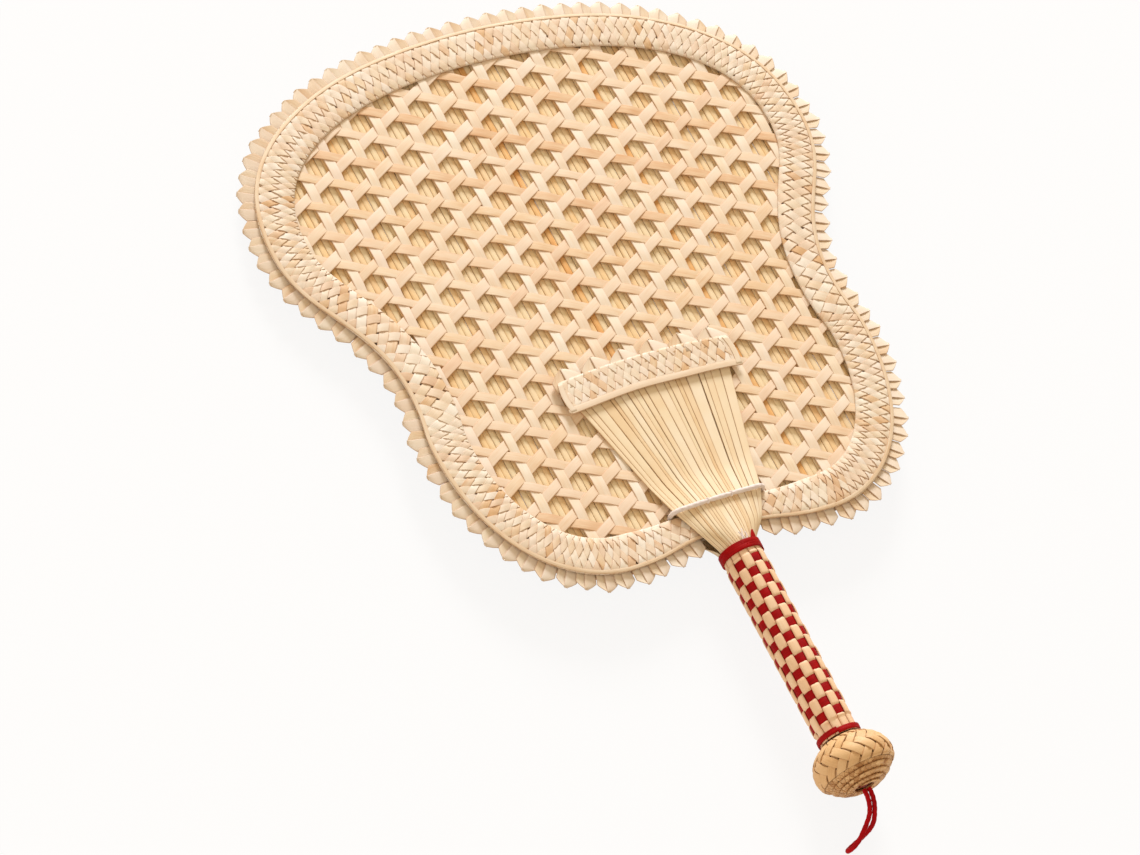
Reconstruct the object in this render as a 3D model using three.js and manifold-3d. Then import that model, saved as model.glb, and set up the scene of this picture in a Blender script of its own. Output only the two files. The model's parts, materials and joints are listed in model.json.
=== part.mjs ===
// Straw hand fan: an openwork leaf edged with plaits, clamped by the splayed straws of a woven handle,
// with a plaited pommel and a cord loop to hang it by.
// Millimetres. In the fan's own frame x runs across the leaf, y from the handle's collar to the leaf's top
// and z out of the front face. The finished fan is laid on its back on the floor, at z = 0.

import * as THREE from "three";
import Module from "manifold-3d";
import { mergeVertices } from "three/addons/utils/BufferGeometryUtils.js";

const wasm = await Module();
wasm.setup();

// Gap between neighbouring pieces
const CLEARANCE = 0.3;

// Leaf outline, to the tips of its picots
const LEAF_TOP_Y = 267;
const SHOULDER_Y = 182;
const SHOULDER_HALF_WIDTH = 135;
const WAIST_Y = 102;
const WAIST_HALF_WIDTH = 108;
const LOBE_Y = 76;
const LOBE_HALF_WIDTH = 110.5;
const FOOT_X = 48;
const FOOT_Y = -3;
const NECK_Y = 2;

// Leaf layers
const LINING_THICKNESS = 0.8;
const LINING_GROOVE = 0.25;
const LINING_PITCH = 2.6;
const WEAVE_THICKNESS = 0.8;
const GAP_COLUMN_STEP = 13.75;
const GAP_ROW_STEP = 14.6;
const GAP_CENTRE_X = 5.3;
const GAP_CENTRE_Y = 2.9;
const STRIP_WIDTH = 4.3;

// Border plaits and the picot edging between them
const BRAID_THICKNESS = 1.6;
const BRAID_WIDTH = 16.5;
const BRAID_OVERLAP = 11.2;
const BRAID_STEPS = 80;
const BRAID_END_GAP = 1;
const NECK_NARROWING = 6;
const NECK_REACH = 30;
const PICOT_LENGTH = 7;
const PICOT_DEPTH = 4.5;
const PICOT_PITCH = 8.9;
const PICOT_THICKNESS = 2.4;
const PICOT_END = 18;

// Ribs that splay from the handle over each face of the leaf
const RIB_COUNT = 14;
const RIB_THICKNESS = 0.9;
const RIB_GAP = 0.35;
const RIB_TUCK = 2.2;
const RIB_NECK_HALF_WIDTH = 14;
const RIB_NECK_ARCH = 2.8;
const RIB_TIE_HALF_WIDTH = 20.5;
const RIB_TIE_ARCH = 1.2;
const RIB_DROP = 14;
const RIB_TOP_HALF_WIDTH = 38.5;

// Cap plaits over the upper ends of the ribs
const CAP_Y = 75;
const CAP_HALF_LENGTH = 41.5;
const CAP_WIDTH = 15;
const CAP_PICOTS = 6;
const CAP_PICOT_LENGTH = 5.5;
const CAP_ARCH = 2.5;
const CAP_THICKNESS = 1.6;
const CAP_POCKET = 4;

// Thread that ties the ribs to the leaf
const TIE_RADIUS = 0.8;
const TIE_STEPS = 40;

// Woven handle
const CORE_RADIUS = 4.4;
const HEAD_RADIUS = 6.9;
const COLLAR_HEIGHT = 4.5;
const COLLAR_THICKNESS = 0.8;
const WARP_COUNT = 13;
const WARP_WIDTH = 2.8;
const WARP_THICKNESS = 0.6;
const WEFT_TURNS = 15;
const WEFT_PITCH = 5.1;
const WEFT_WIDTH = 2.7;
const WEFT_THICKNESS = 0.5;
const END_RING_HEIGHT = 2.7;
const END_RING_THICKNESS = 1.6;

// Pommel
const POMMEL_RADIUS = 17;
const POMMEL_HALF_HEIGHT = 12.5;
const POMMEL_MOUTH_RADIUS = 7.5;
const POMMEL_BAND_THICKNESS = 1.6;
const POMMEL_BAND_DROP = 4;
const COIL_RADIUS = 1.1;
const COIL_GAP = 0.6;
const COIL_SINK = 0.4;
const COIL_HOLE_RADIUS = 2.9;
const COIL_STEPS_PER_TURN = 16;
const KNOT_RADIUS = 2.5;
const ROUND_SEGMENTS = 24;

// Cord loop, from its exit in the pommel's end
const LOOP_RADIUS = 1;
const LOOP_ROOT_GAP = 1;
const LOOP_EYE_HALF_WIDTH = 4.5;
const LOOP_EYE_START = 0.3;
const LOOP_STRAIGHT = new THREE.Vector3(0, -10, 0.5);
const LOOP_DROOP = new THREE.Vector3(-4, -16, -7);
const LOOP_TIP = new THREE.Vector3(-11.6, -16.4, -15.6);
const LOOP_EYE_DIRECTION = new THREE.Vector3(-0.68, -0.39, 0.62);
const LOOP_STEPS = 44;

// Heights of the leaf's layers above its middle
const WEAVE_BOTTOM = LINING_THICKNESS / 2 + CLEARANCE;
const WEAVE_TOP = WEAVE_BOTTOM + WEAVE_THICKNESS;
const BRAID_BOTTOM = WEAVE_TOP + CLEARANCE;
const BRAID_TOP = BRAID_BOTTOM + BRAID_THICKNESS;
const RIB_SEAT = WEAVE_TOP + CLEARANCE;
const CAP_BOTTOM = RIB_SEAT + RIB_THICKNESS + CLEARANCE;

// Handle radii: a straw passes over and under the weft with the same clearance at the weft's edges
const WARP_SWING = (WARP_THICKNESS / 2 + WEFT_THICKNESS / 2 + CLEARANCE) / (1 - WEFT_WIDTH / WEFT_PITCH);
const WARP_MIDDLE = CORE_RADIUS + CLEARANCE + WARP_THICKNESS / 2 + WARP_SWING;
const WARP_STEP = (2 * Math.PI) / WARP_COUNT;
const RIB_RING_RADIUS = HEAD_RADIUS + CLEARANCE;
const COLLAR_INNER = RIB_RING_RADIUS + RIB_THICKNESS + CLEARANCE;
const END_RING_INNER = WARP_MIDDLE + WARP_THICKNESS / 2 + CLEARANCE;

// Places along the handle
const WARP_TOP_Y = -RIB_TUCK - CLEARANCE;
const WEFT_TOP_Y = -COLLAR_HEIGHT - CLEARANCE - WEFT_PITCH / 2;
const END_RING_TOP_Y = WEFT_TOP_Y - WEFT_PITCH * (WEFT_TURNS + 0.5) - CLEARANCE;
const END_RING_BOTTOM_Y = END_RING_TOP_Y - END_RING_HEIGHT;
const POMMEL_Y =
  END_RING_BOTTOM_Y -
  CLEARANCE -
  POMMEL_HALF_HEIGHT * Math.sqrt(1 - (POMMEL_MOUTH_RADIUS / POMMEL_RADIUS) ** 2);

const mix = THREE.MathUtils.lerp;

function bodyVolume(positions, index) {
  const a = new THREE.Vector3();
  const b = new THREE.Vector3();
  const c = new THREE.Vector3();
  let volume = 0;
  for (let i = 0; i < index.length; i += 3) {
    a.fromArray(positions, index[i] * 3);
    b.fromArray(positions, index[i + 1] * 3);
    c.fromArray(positions, index[i + 2] * 3);
    volume += a.dot(b.cross(c)) / 6;
  }
  return volume;
}

// Skin over a row of sections with equally many corners, joined into a ring or capped at both ends
function loft(sections, ring = false) {
  const corners = sections[0].length;
  const positions = sections.flat().flatMap((corner) => corner.toArray());
  const index = [];
  const spans = ring ? sections.length : sections.length - 1;
  for (let span = 0; span < spans; span += 1) {
    const near = span * corners;
    const far = ((span + 1) % sections.length) * corners;
    for (let c = 0; c < corners; c += 1) {
      const d = (c + 1) % corners;
      index.push(near + c, near + d, far + d);
      index.push(near + c, far + d, far + c);
    }
  }
  const last = (sections.length - 1) * corners;
  for (let c = 1; !ring && c < corners - 1; c += 1) {
    index.push(0, c + 1, c);
    index.push(last, last + c, last + c + 1);
  }
  if (bodyVolume(positions, index) < 0) {
    index.reverse();
  }
  const geometry = new THREE.BufferGeometry();
  geometry.setAttribute("position", new THREE.Float32BufferAttribute(positions, 3));
  geometry.setIndex(index);
  return geometry;
}

// Round section of a tube: corners about a centre, in the plane of two square directions
function roundSection(centre, across, along, radius, sides) {
  return Array.from({ length: sides }, (_, side) => {
    const angle = (2 * Math.PI * side) / sides;
    return centre
      .clone()
      .addScaledVector(across, radius * Math.cos(angle))
      .addScaledVector(along, radius * Math.sin(angle));
  });
}

// Least distance between the corners of sections that lie at least a number of sections apart
function leastGap(sections, apart) {
  let least = Infinity;
  for (let i = 0; i < sections.length; i += 1) {
    for (let j = i + apart; j < sections.length; j += 1) {
      for (const a of sections[i]) {
        for (const b of sections[j]) {
          least = Math.min(least, a.distanceTo(b));
        }
      }
    }
  }
  return least;
}

function toManifold(geometry) {
  const bare = new THREE.BufferGeometry();
  bare.setAttribute("position", geometry.getAttribute("position"));
  bare.setIndex(geometry.index);
  const merged = mergeVertices(bare, 1e-4);
  const mesh = new wasm.Mesh({
    numProp: 3,
    vertProperties: merged.getAttribute("position").array,
    triVerts: new Uint32Array(merged.index.array),
  });
  return new wasm.Manifold(mesh);
}

function cut(geometry, tools) {
  const mesh = toManifold(geometry).subtract(wasm.Manifold.union(tools.map(toManifold))).getMesh();
  const result = new THREE.BufferGeometry();
  result.setAttribute("position", new THREE.Float32BufferAttribute(mesh.vertProperties, mesh.numProp));
  result.setIndex(Array.from(mesh.triVerts));
  return result;
}

// Closed leaf outline, counterclockwise from the neck, square to the axes at each named point
function leafOutline() {
  const outline = new THREE.Path();
  const bend = 0.56;
  const crown = 0.62;
  const curl = 0.45;
  const shoulderCrownY = mix(SHOULDER_Y, LEAF_TOP_Y, crown);
  const footBendX = mix(FOOT_X, LOBE_HALF_WIDTH, bend);
  const lobeBendY = mix(LOBE_Y, FOOT_Y, bend);
  const dipY = mix(LOBE_Y, WAIST_Y, 0.5);
  const waistCurlY = mix(WAIST_Y, SHOULDER_Y, curl);
  const shoulderCurlY = mix(SHOULDER_Y, WAIST_Y, curl);
  const crownX = SHOULDER_HALF_WIDTH * crown;
  outline.moveTo(0, NECK_Y);
  outline.bezierCurveTo(FOOT_X / 2, NECK_Y, FOOT_X / 2, FOOT_Y, FOOT_X, FOOT_Y);
  outline.bezierCurveTo(footBendX, FOOT_Y, LOBE_HALF_WIDTH, lobeBendY, LOBE_HALF_WIDTH, LOBE_Y);
  outline.bezierCurveTo(LOBE_HALF_WIDTH, dipY, WAIST_HALF_WIDTH, dipY, WAIST_HALF_WIDTH, WAIST_Y);
  outline.bezierCurveTo(
    WAIST_HALF_WIDTH, waistCurlY, SHOULDER_HALF_WIDTH, shoulderCurlY, SHOULDER_HALF_WIDTH, SHOULDER_Y,
  );
  outline.bezierCurveTo(SHOULDER_HALF_WIDTH, shoulderCrownY, crownX, LEAF_TOP_Y, 0, LEAF_TOP_Y);
  outline.bezierCurveTo(-crownX, LEAF_TOP_Y, -SHOULDER_HALF_WIDTH, shoulderCrownY, -SHOULDER_HALF_WIDTH, SHOULDER_Y);
  outline.bezierCurveTo(
    -SHOULDER_HALF_WIDTH, shoulderCurlY, -WAIST_HALF_WIDTH, waistCurlY, -WAIST_HALF_WIDTH, WAIST_Y,
  );
  outline.bezierCurveTo(-WAIST_HALF_WIDTH, dipY, -LOBE_HALF_WIDTH, dipY, -LOBE_HALF_WIDTH, LOBE_Y);
  outline.bezierCurveTo(-LOBE_HALF_WIDTH, lobeBendY, -footBendX, FOOT_Y, -FOOT_X, FOOT_Y);
  outline.bezierCurveTo(-FOOT_X / 2, FOOT_Y, -FOOT_X / 2, NECK_Y, 0, NECK_Y);
  return outline;
}

const OUTLINE = leafOutline();
const OUTLINE_LENGTH = OUTLINE.getLength();

// Point a given way in from the outline, at a distance along it from the neck
function edgePoint(distance, inset) {
  const t = distance / OUTLINE_LENGTH;
  const point = OUTLINE.getPoint(t);
  const tangent = OUTLINE.getTangent(t);
  return new THREE.Vector2(point.x - tangent.y * inset, point.y + tangent.x * inset);
}

// The border is drawn in a little where the ribs cross it
function borderInset(distance) {
  const fromNeck = Math.min(distance, OUTLINE_LENGTH - distance);
  return PICOT_LENGTH + BRAID_WIDTH - NECK_NARROWING * Math.exp(-((fromNeck / NECK_REACH) ** 2));
}

// Height of an inset edge beside the neck, at a given distance from the middle
function edgeHeight(x, insetAt) {
  const step = 0.25;
  let distance = 0;
  while (edgePoint(distance, insetAt(distance)).x < x) {
    distance += step;
  }
  return edgePoint(distance, insetAt(distance)).y;
}

const SHEET_INSET = PICOT_LENGTH + BRAID_WIDTH - BRAID_OVERLAP;
const TIE_X = RIB_TIE_HALF_WIDTH + CLEARANCE + TIE_RADIUS;
const TIE_Y = edgeHeight(TIE_X, borderInset) + TIE_RADIUS + 2 * CLEARANCE;

// Sections of a flat band along the outline, between two insets and two heights
function bandSection(distance, outerInset, innerInset, bottom, top) {
  const outer = edgePoint(distance, outerInset);
  const inner = edgePoint(distance, innerInset);
  return [
    new THREE.Vector3(outer.x, outer.y, bottom),
    new THREE.Vector3(outer.x, outer.y, top),
    new THREE.Vector3(inner.x, inner.y, top),
    new THREE.Vector3(inner.x, inner.y, bottom),
  ];
}

// Front border plait, with its two ends meeting at the neck
function borderBraid() {
  const start = BRAID_END_GAP / 2;
  const sections = Array.from({ length: BRAID_STEPS + 1 }, (_, step) => {
    const distance = mix(start, OUTLINE_LENGTH - start, step / BRAID_STEPS);
    return bandSection(distance, PICOT_LENGTH, borderInset(distance), BRAID_BOTTOM, BRAID_TOP);
  });
  return loft(sections);
}

// Row of points in the leaf's middle plane, from one side of the neck round to the other
function picotEdging() {
  const teeth = Math.round((OUTLINE_LENGTH - 2 * PICOT_END) / PICOT_PITCH);
  const half = PICOT_THICKNESS / 2;
  const sections = Array.from({ length: 2 * teeth + 1 }, (_, step) => {
    const distance = mix(PICOT_END, OUTLINE_LENGTH - PICOT_END, step / (2 * teeth));
    const outerInset = step % 2 === 1 ? 0 : PICOT_DEPTH;
    return bandSection(distance, outerInset, SHEET_INSET - CLEARANCE, -half, half);
  });
  return loft(sections);
}

function sheetEdge(inset) {
  return Array.from({ length: BRAID_STEPS }, (_, step) =>
    edgePoint((OUTLINE_LENGTH * step) / BRAID_STEPS, inset),
  );
}

function isInside(polygon, point) {
  let inside = false;
  polygon.forEach((a, i) => {
    const b = polygon[(i + 1) % polygon.length];
    const spans = a.y > point.y !== b.y > point.y;
    if (spans && point.x < a.x + ((b.x - a.x) * (point.y - a.y)) / (b.y - a.y)) {
      inside = !inside;
    }
  });
  return inside;
}

function ring2(x, y, radius, corners, turn) {
  return Array.from({ length: corners }, (_, corner) => {
    const angle = turn + (2 * Math.PI * corner) / corners;
    return new THREE.Vector2(x + radius * Math.cos(angle), y + radius * Math.sin(angle));
  });
}

const TIE_HOLES = [-TIE_X, TIE_X].map((x) => ring2(x, TIE_Y, TIE_RADIUS + CLEARANCE, 8, 0));

// Width of the splayed ribs at a height on the leaf
function ribHalfWidth(y) {
  return mix(RIB_TIE_HALF_WIDTH, RIB_TOP_HALF_WIDTH, (y - TIE_Y) / (ribTopY() - TIE_Y));
}

function ribTopY() {
  return CAP_Y + CAP_WIDTH - CAP_POCKET;
}

// Six-sided gaps between strips in three directions, wherever the border, ribs and caps leave them open
function weaveGaps() {
  const slant = Math.atan2(GAP_ROW_STEP / 2, GAP_COLUMN_STEP);
  const halfWidth = (GAP_COLUMN_STEP - STRIP_WIDTH) / 2;
  const peak = (GAP_ROW_STEP - STRIP_WIDTH / Math.cos(slant)) / 2;
  const shoulder = peak - halfWidth * Math.tan(slant);
  const gapRadius = Math.max(peak, Math.hypot(halfWidth, shoulder));
  const corners = [
    [halfWidth, shoulder],
    [0, peak],
    [-halfWidth, shoulder],
    [-halfWidth, -shoulder],
    [0, -peak],
    [halfWidth, -shoulder],
  ];
  const open = Array.from({ length: BRAID_STEPS }, (_, step) => {
    const distance = (OUTLINE_LENGTH * step) / BRAID_STEPS;
    return edgePoint(distance, Math.max(borderInset(distance), SHEET_INSET + 1.3 * gapRadius));
  });
  const columns = Math.ceil(SHOULDER_HALF_WIDTH / GAP_COLUMN_STEP) + 1;
  const rows = Math.ceil(LEAF_TOP_Y / GAP_ROW_STEP) + 1;
  const gaps = [];
  for (let column = -columns; column <= columns; column += 1) {
    for (let row = -1; row <= rows; row += 1) {
      const x = GAP_CENTRE_X + column * GAP_COLUMN_STEP;
      const y = GAP_CENTRE_Y + (row + (column & 1) / 2) * GAP_ROW_STEP;
      const underRibs = Math.abs(x) + gapRadius < ribHalfWidth(y - gapRadius) && y < ribTopY();
      const atTie = Math.hypot(Math.abs(x) - TIE_X, y - TIE_Y) < gapRadius + TIE_RADIUS + 3 * CLEARANCE;
      if (isInside(open, new THREE.Vector2(x, y)) && !underRibs && !atTie) {
        gaps.push(corners.map(([across, up]) => new THREE.Vector2(x + across, y + up)));
      }
    }
  }
  return gaps;
}

// Upright prism over an outline, between two heights
function prism(outline, bottom, top) {
  const shape = new THREE.Shape(outline);
  const geometry = new THREE.ExtrudeGeometry(shape, { depth: top - bottom, bevelEnabled: false });
  return geometry.translate(0, 0, bottom);
}

// Cutters for holes through a layer of the leaf
function drills(holes, bottom, top) {
  return holes.map((hole) => prism(hole, bottom - CLEARANCE, top + CLEARANCE));
}

// Flat sheet of strips inside the border, open at its gaps
function weave(gaps) {
  const sheet = prism(sheetEdge(SHEET_INSET), WEAVE_BOTTOM, WEAVE_TOP);
  return cut(sheet, drills([...gaps, ...TIE_HOLES], WEAVE_BOTTOM, WEAVE_TOP));
}

// Mat of narrow straws side by side, ridged on both faces
function lining() {
  const edge = sheetEdge(SHEET_INSET + 2 * CLEARANCE);
  const reach = Math.max(...edge.map((point) => point.x));
  const straws = Math.floor((2 * reach) / LINING_PITCH) - 1;
  const sections = Array.from({ length: 2 * straws + 1 }, (_, step) => {
    const x = ((step - straws) * LINING_PITCH) / 2;
    const heights = [];
    edge.forEach((a, i) => {
      const b = edge[(i + 1) % edge.length];
      if (a.x > x !== b.x > x) {
        heights.push(mix(a.y, b.y, (x - a.x) / (b.x - a.x)));
      }
    });
    heights.sort((a, b) => b - a);
    const [high, low] = [heights[0], heights[1]];
    const z = LINING_THICKNESS / 2 - (step % 2 === 0 ? LINING_GROOVE : 0);
    return [
      new THREE.Vector3(x, low, -z),
      new THREE.Vector3(x, high, -z),
      new THREE.Vector3(x, high, z),
      new THREE.Vector3(x, low, z),
    ];
  });
  return cut(loft(sections), drills(TIE_HOLES, -LINING_THICKNESS / 2, LINING_THICKNESS / 2));
}

// Stations of the ribs: round the handle's head, over the border at the neck and the tie, down to the leaf
function ribStations() {
  const neckY = edgeHeight(RIB_NECK_HALF_WIDTH, () => PICOT_LENGTH) - CLEARANCE;
  const dropY = TIE_Y + RIB_DROP;
  const overBorder = BRAID_TOP + CLEARANCE;
  const ringShape = { halfWidth: RIB_RING_RADIUS, seat: 0, arch: RIB_RING_RADIUS, flat: 0 };
  return [
    { y: -RIB_TUCK, ...ringShape },
    { y: CLEARANCE, ...ringShape },
    { y: neckY, halfWidth: RIB_NECK_HALF_WIDTH, seat: overBorder, arch: RIB_NECK_ARCH, flat: 0.5 },
    { y: TIE_Y, halfWidth: RIB_TIE_HALF_WIDTH, seat: overBorder, arch: RIB_TIE_ARCH, flat: 1 },
    { y: dropY, halfWidth: ribHalfWidth(dropY), seat: RIB_SEAT, arch: 0, flat: 1 },
    { y: ribTopY(), halfWidth: RIB_TOP_HALF_WIDTH, seat: RIB_SEAT, arch: 0, flat: 1 },
  ];
}

// Point across the ribs at a station: u runs from the left edge to the right, lift from the seat outwards
function ribPoint(station, u, lift) {
  const angle = Math.PI * (1 - u);
  const side = 2 * u - 1;
  const round = lift * (1 - station.flat);
  const x = (station.halfWidth + round) * mix(Math.cos(angle), side, station.flat);
  const rise = (station.arch + round) * mix(Math.sin(angle), 1 - side * side, station.flat);
  return new THREE.Vector3(x, station.y, station.seat + rise + lift * station.flat);
}

function rib(number) {
  const sections = ribStations().map((station) => {
    const width = station.halfWidth * mix(Math.PI, 2, station.flat);
    const margin = RIB_GAP / 2 / width;
    const left = number / RIB_COUNT + margin;
    const right = (number + 1) / RIB_COUNT - margin;
    return [
      ribPoint(station, left, 0),
      ribPoint(station, left, RIB_THICKNESS),
      ribPoint(station, right, RIB_THICKNESS),
      ribPoint(station, right, 0),
    ];
  });
  return loft(sections);
}

// Short arched plait with a row of points along its upper edge
function capBraid() {
  const arch = (x) => CAP_ARCH * (1 - (x / CAP_HALF_LENGTH) ** 2);
  const shape = new THREE.Shape();
  shape.moveTo(-CAP_HALF_LENGTH, CAP_Y);
  shape.quadraticCurveTo(0, CAP_Y + 2 * CAP_ARCH, CAP_HALF_LENGTH, CAP_Y);
  for (let step = 0; step <= 2 * CAP_PICOTS; step += 1) {
    const x = mix(CAP_HALF_LENGTH, -CAP_HALF_LENGTH, step / (2 * CAP_PICOTS));
    const tip = step % 2 === 1 ? CAP_PICOT_LENGTH : 0;
    shape.lineTo(x, CAP_Y + arch(x) + CAP_WIDTH + tip);
  }
  const geometry = new THREE.ExtrudeGeometry(shape, {
    depth: CAP_THICKNESS,
    bevelEnabled: false,
    curveSegments: 8,
  });
  return geometry.translate(0, 0, CAP_BOTTOM);
}

// Thread in a closed loop: over the front ribs, through the leaf on both sides and over the back ribs
function tieThread() {
  const station = ribStations()[3];
  const away = TIE_RADIUS + 2 * CLEARANCE;
  const corner = away * Math.SQRT1_2;
  const front = [new THREE.Vector3(TIE_X, TIE_Y, 0), new THREE.Vector3(TIE_X, TIE_Y, station.seat)];
  const over = (u) => ribPoint(station, u, RIB_THICKNESS);
  front.push(over(1).add(new THREE.Vector3(corner, 0, corner)));
  for (const u of [0.9, 0.7, 0.5, 0.3, 0.1]) {
    front.push(over(u).add(new THREE.Vector3(0, 0, away)));
  }
  front.push(over(0).add(new THREE.Vector3(-corner, 0, corner)));
  front.push(new THREE.Vector3(-TIE_X, TIE_Y, station.seat), new THREE.Vector3(-TIE_X, TIE_Y, 0));
  const back = front
    .slice(1, -1)
    .reverse()
    .map((point) => new THREE.Vector3(point.x, point.y, -point.z));
  const route = new THREE.CatmullRomCurve3([...front, ...back], true);
  const upward = new THREE.Vector3(0, 1, 0);
  const sections = Array.from({ length: TIE_STEPS }, (_, step) => {
    const along = route.getTangentAt(step / TIE_STEPS);
    const across = new THREE.Vector3().crossVectors(along, upward).normalize();
    return roundSection(route.getPointAt(step / TIE_STEPS), across, upward, TIE_RADIUS, 6);
  });
  return loft(sections, true);
}

function lathe(profile) {
  const points = profile.map(([radius, y]) => new THREE.Vector2(radius, y));
  return new THREE.LatheGeometry(points, ROUND_SEGMENTS);
}

// Ring between two radii and two heights
function hoop(inner, outer, bottom, top) {
  return lathe([
    [inner, bottom],
    [outer, bottom],
    [outer, top],
    [inner, top],
    [inner, bottom],
  ]);
}

// Flat straw across the handle's axis at an angle, a radius and a height
function warpSection(angle, radius, y) {
  const outward = new THREE.Vector3(Math.cos(angle), 0, Math.sin(angle));
  const sideways = new THREE.Vector3(-Math.sin(angle), 0, Math.cos(angle));
  const corners = [
    [-1, -1],
    [1, -1],
    [1, 1],
    [-1, 1],
  ];
  return corners.map(([side, out]) =>
    new THREE.Vector3(0, y, 0)
      .addScaledVector(outward, radius + (out * WARP_THICKNESS) / 2)
      .addScaledVector(sideways, (side * WARP_WIDTH) / 2),
  );
}

// Lengthwise straw that passes over and under successive turns of the weft
function warp(number) {
  const angle = number * WARP_STEP;
  const sections = [
    warpSection(angle, WARP_MIDDLE, WARP_TOP_Y),
    warpSection(angle, WARP_MIDDLE, -COLLAR_HEIGHT - CLEARANCE),
  ];
  for (let turn = 0; turn < WEFT_TURNS; turn += 1) {
    const over = (turn * WARP_COUNT + number) % 2 === 0 ? 1 : -1;
    const y = WEFT_TOP_Y - WEFT_PITCH * (turn + number / WARP_COUNT);
    sections.push(warpSection(angle, WARP_MIDDLE + over * WARP_SWING, y));
  }
  sections.push(warpSection(angle, WARP_MIDDLE, END_RING_TOP_Y + CLEARANCE));
  sections.push(warpSection(angle, WARP_MIDDLE, END_RING_BOTTOM_Y));
  return loft(sections);
}

// One strip wound down the handle, flat against each straw it crosses
function weftSections() {
  const bend = Math.cos(WARP_STEP / 2);
  const inner = (WARP_MIDDLE - WEFT_THICKNESS / 2) / bend;
  const outer = (WARP_MIDDLE + WEFT_THICKNESS / 2) / bend;
  return Array.from({ length: WEFT_TURNS * WARP_COUNT + 1 }, (_, step) => {
    const angle = (step - 0.5) * WARP_STEP;
    const y = WEFT_TOP_Y - (WEFT_PITCH * (step - 0.5)) / WARP_COUNT;
    const at = (radius, height) =>
      new THREE.Vector3(radius * Math.cos(angle), height, radius * Math.sin(angle));
    const [low, high] = [y - WEFT_WIDTH / 2, y + WEFT_WIDTH / 2];
    return [at(inner, low), at(outer, low), at(outer, high), at(inner, high)];
  });
}

// Arc of the pommel's oval profile, a given way inside its surface, between two angles
function pommelArc(inset, fromAngle, toAngle) {
  const radius = POMMEL_RADIUS - inset;
  const height = POMMEL_HALF_HEIGHT - inset;
  return new THREE.EllipseCurve(0, POMMEL_Y, radius, height, fromAngle, toAngle, fromAngle > toAngle);
}

function angleAtRadius(inset, radius) {
  return Math.acos(radius / (POMMEL_RADIUS - inset));
}

function angleAtDrop(inset, drop) {
  return -Math.asin(drop / (POMMEL_HALF_HEIGHT - inset));
}

function arcPoints(arc, count) {
  return arc.getSpacedPoints(count).map((point) => [point.x, point.y]);
}

// Plaited shell from the mouth down past the pommel's widest part
function pommelBand() {
  const inside = POMMEL_BAND_THICKNESS;
  const outer = pommelArc(0, angleAtDrop(0, POMMEL_BAND_DROP), angleAtRadius(0, POMMEL_MOUTH_RADIUS));
  const inner = pommelArc(
    inside,
    angleAtRadius(inside, POMMEL_MOUTH_RADIUS),
    angleAtDrop(inside, POMMEL_BAND_DROP),
  );
  const profile = [...arcPoints(outer, 6), ...arcPoints(inner, 4)];
  return lathe([...profile, profile[0]]);
}

const COIL_INSET = COIL_SINK + COIL_RADIUS;
const COIL_ARC = pommelArc(
  COIL_INSET,
  angleAtDrop(COIL_INSET, POMMEL_BAND_DROP + COIL_RADIUS + 2 * CLEARANCE),
  -angleAtRadius(COIL_INSET, COIL_HOLE_RADIUS + COIL_RADIUS),
);

// Rope of plait wound in a spiral over the pommel's end, from the band in to the cord's hole
function coilSections() {
  const turns = COIL_ARC.getLength() / (2 * COIL_RADIUS + COIL_GAP);
  const steps = Math.round(turns * COIL_STEPS_PER_TURN);
  return Array.from({ length: steps + 1 }, (_, step) => {
    const angle = (2 * Math.PI * turns * step) / steps;
    const point = COIL_ARC.getPointAt(step / steps);
    const slope = COIL_ARC.getTangentAt(step / steps);
    const place = (radius, y) => new THREE.Vector3(radius * Math.cos(angle), y, radius * Math.sin(angle));
    const along = place(slope.x, slope.y);
    const outward = place(slope.y, -slope.x);
    return roundSection(place(point.x, point.y), outward, along, COIL_RADIUS, 5);
  });
}

const LOOP_EXIT = new THREE.Vector3(0, COIL_ARC.getPoint(1).y - 2 * CLEARANCE, 0);
const KNOT_Y = LOOP_EXIT.y + LOOP_ROOT_GAP + KNOT_RADIUS;
const CORE_END_Y = KNOT_Y + KNOT_RADIUS + CLEARANCE;

// Bead under the plait, bored for the handle's core from above and for the cord's knot from below
function pommelCore() {
  const inset = COIL_INSET + COIL_RADIUS + CLEARANCE;
  const socket = CORE_RADIUS + CLEARANCE;
  const bore = KNOT_RADIUS + CLEARANCE;
  const outside = pommelArc(inset, -angleAtRadius(inset, bore), angleAtRadius(inset, socket));
  const profile = [...arcPoints(outside, 6), [socket, CORE_END_Y - CLEARANCE], [bore, CORE_END_Y - CLEARANCE]];
  return lathe([...profile, profile[0]]);
}

function handleCore() {
  return lathe([
    [0, CORE_END_Y],
    [CORE_RADIUS, CORE_END_Y],
    [CORE_RADIUS, -RIB_TUCK],
    [HEAD_RADIUS, -RIB_TUCK],
    [HEAD_RADIUS, CLEARANCE],
    [0, CLEARANCE],
  ]);
}

function loopKnot() {
  return new THREE.SphereGeometry(KNOT_RADIUS, 12, 8).translate(0, KNOT_Y, 0);
}

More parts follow.
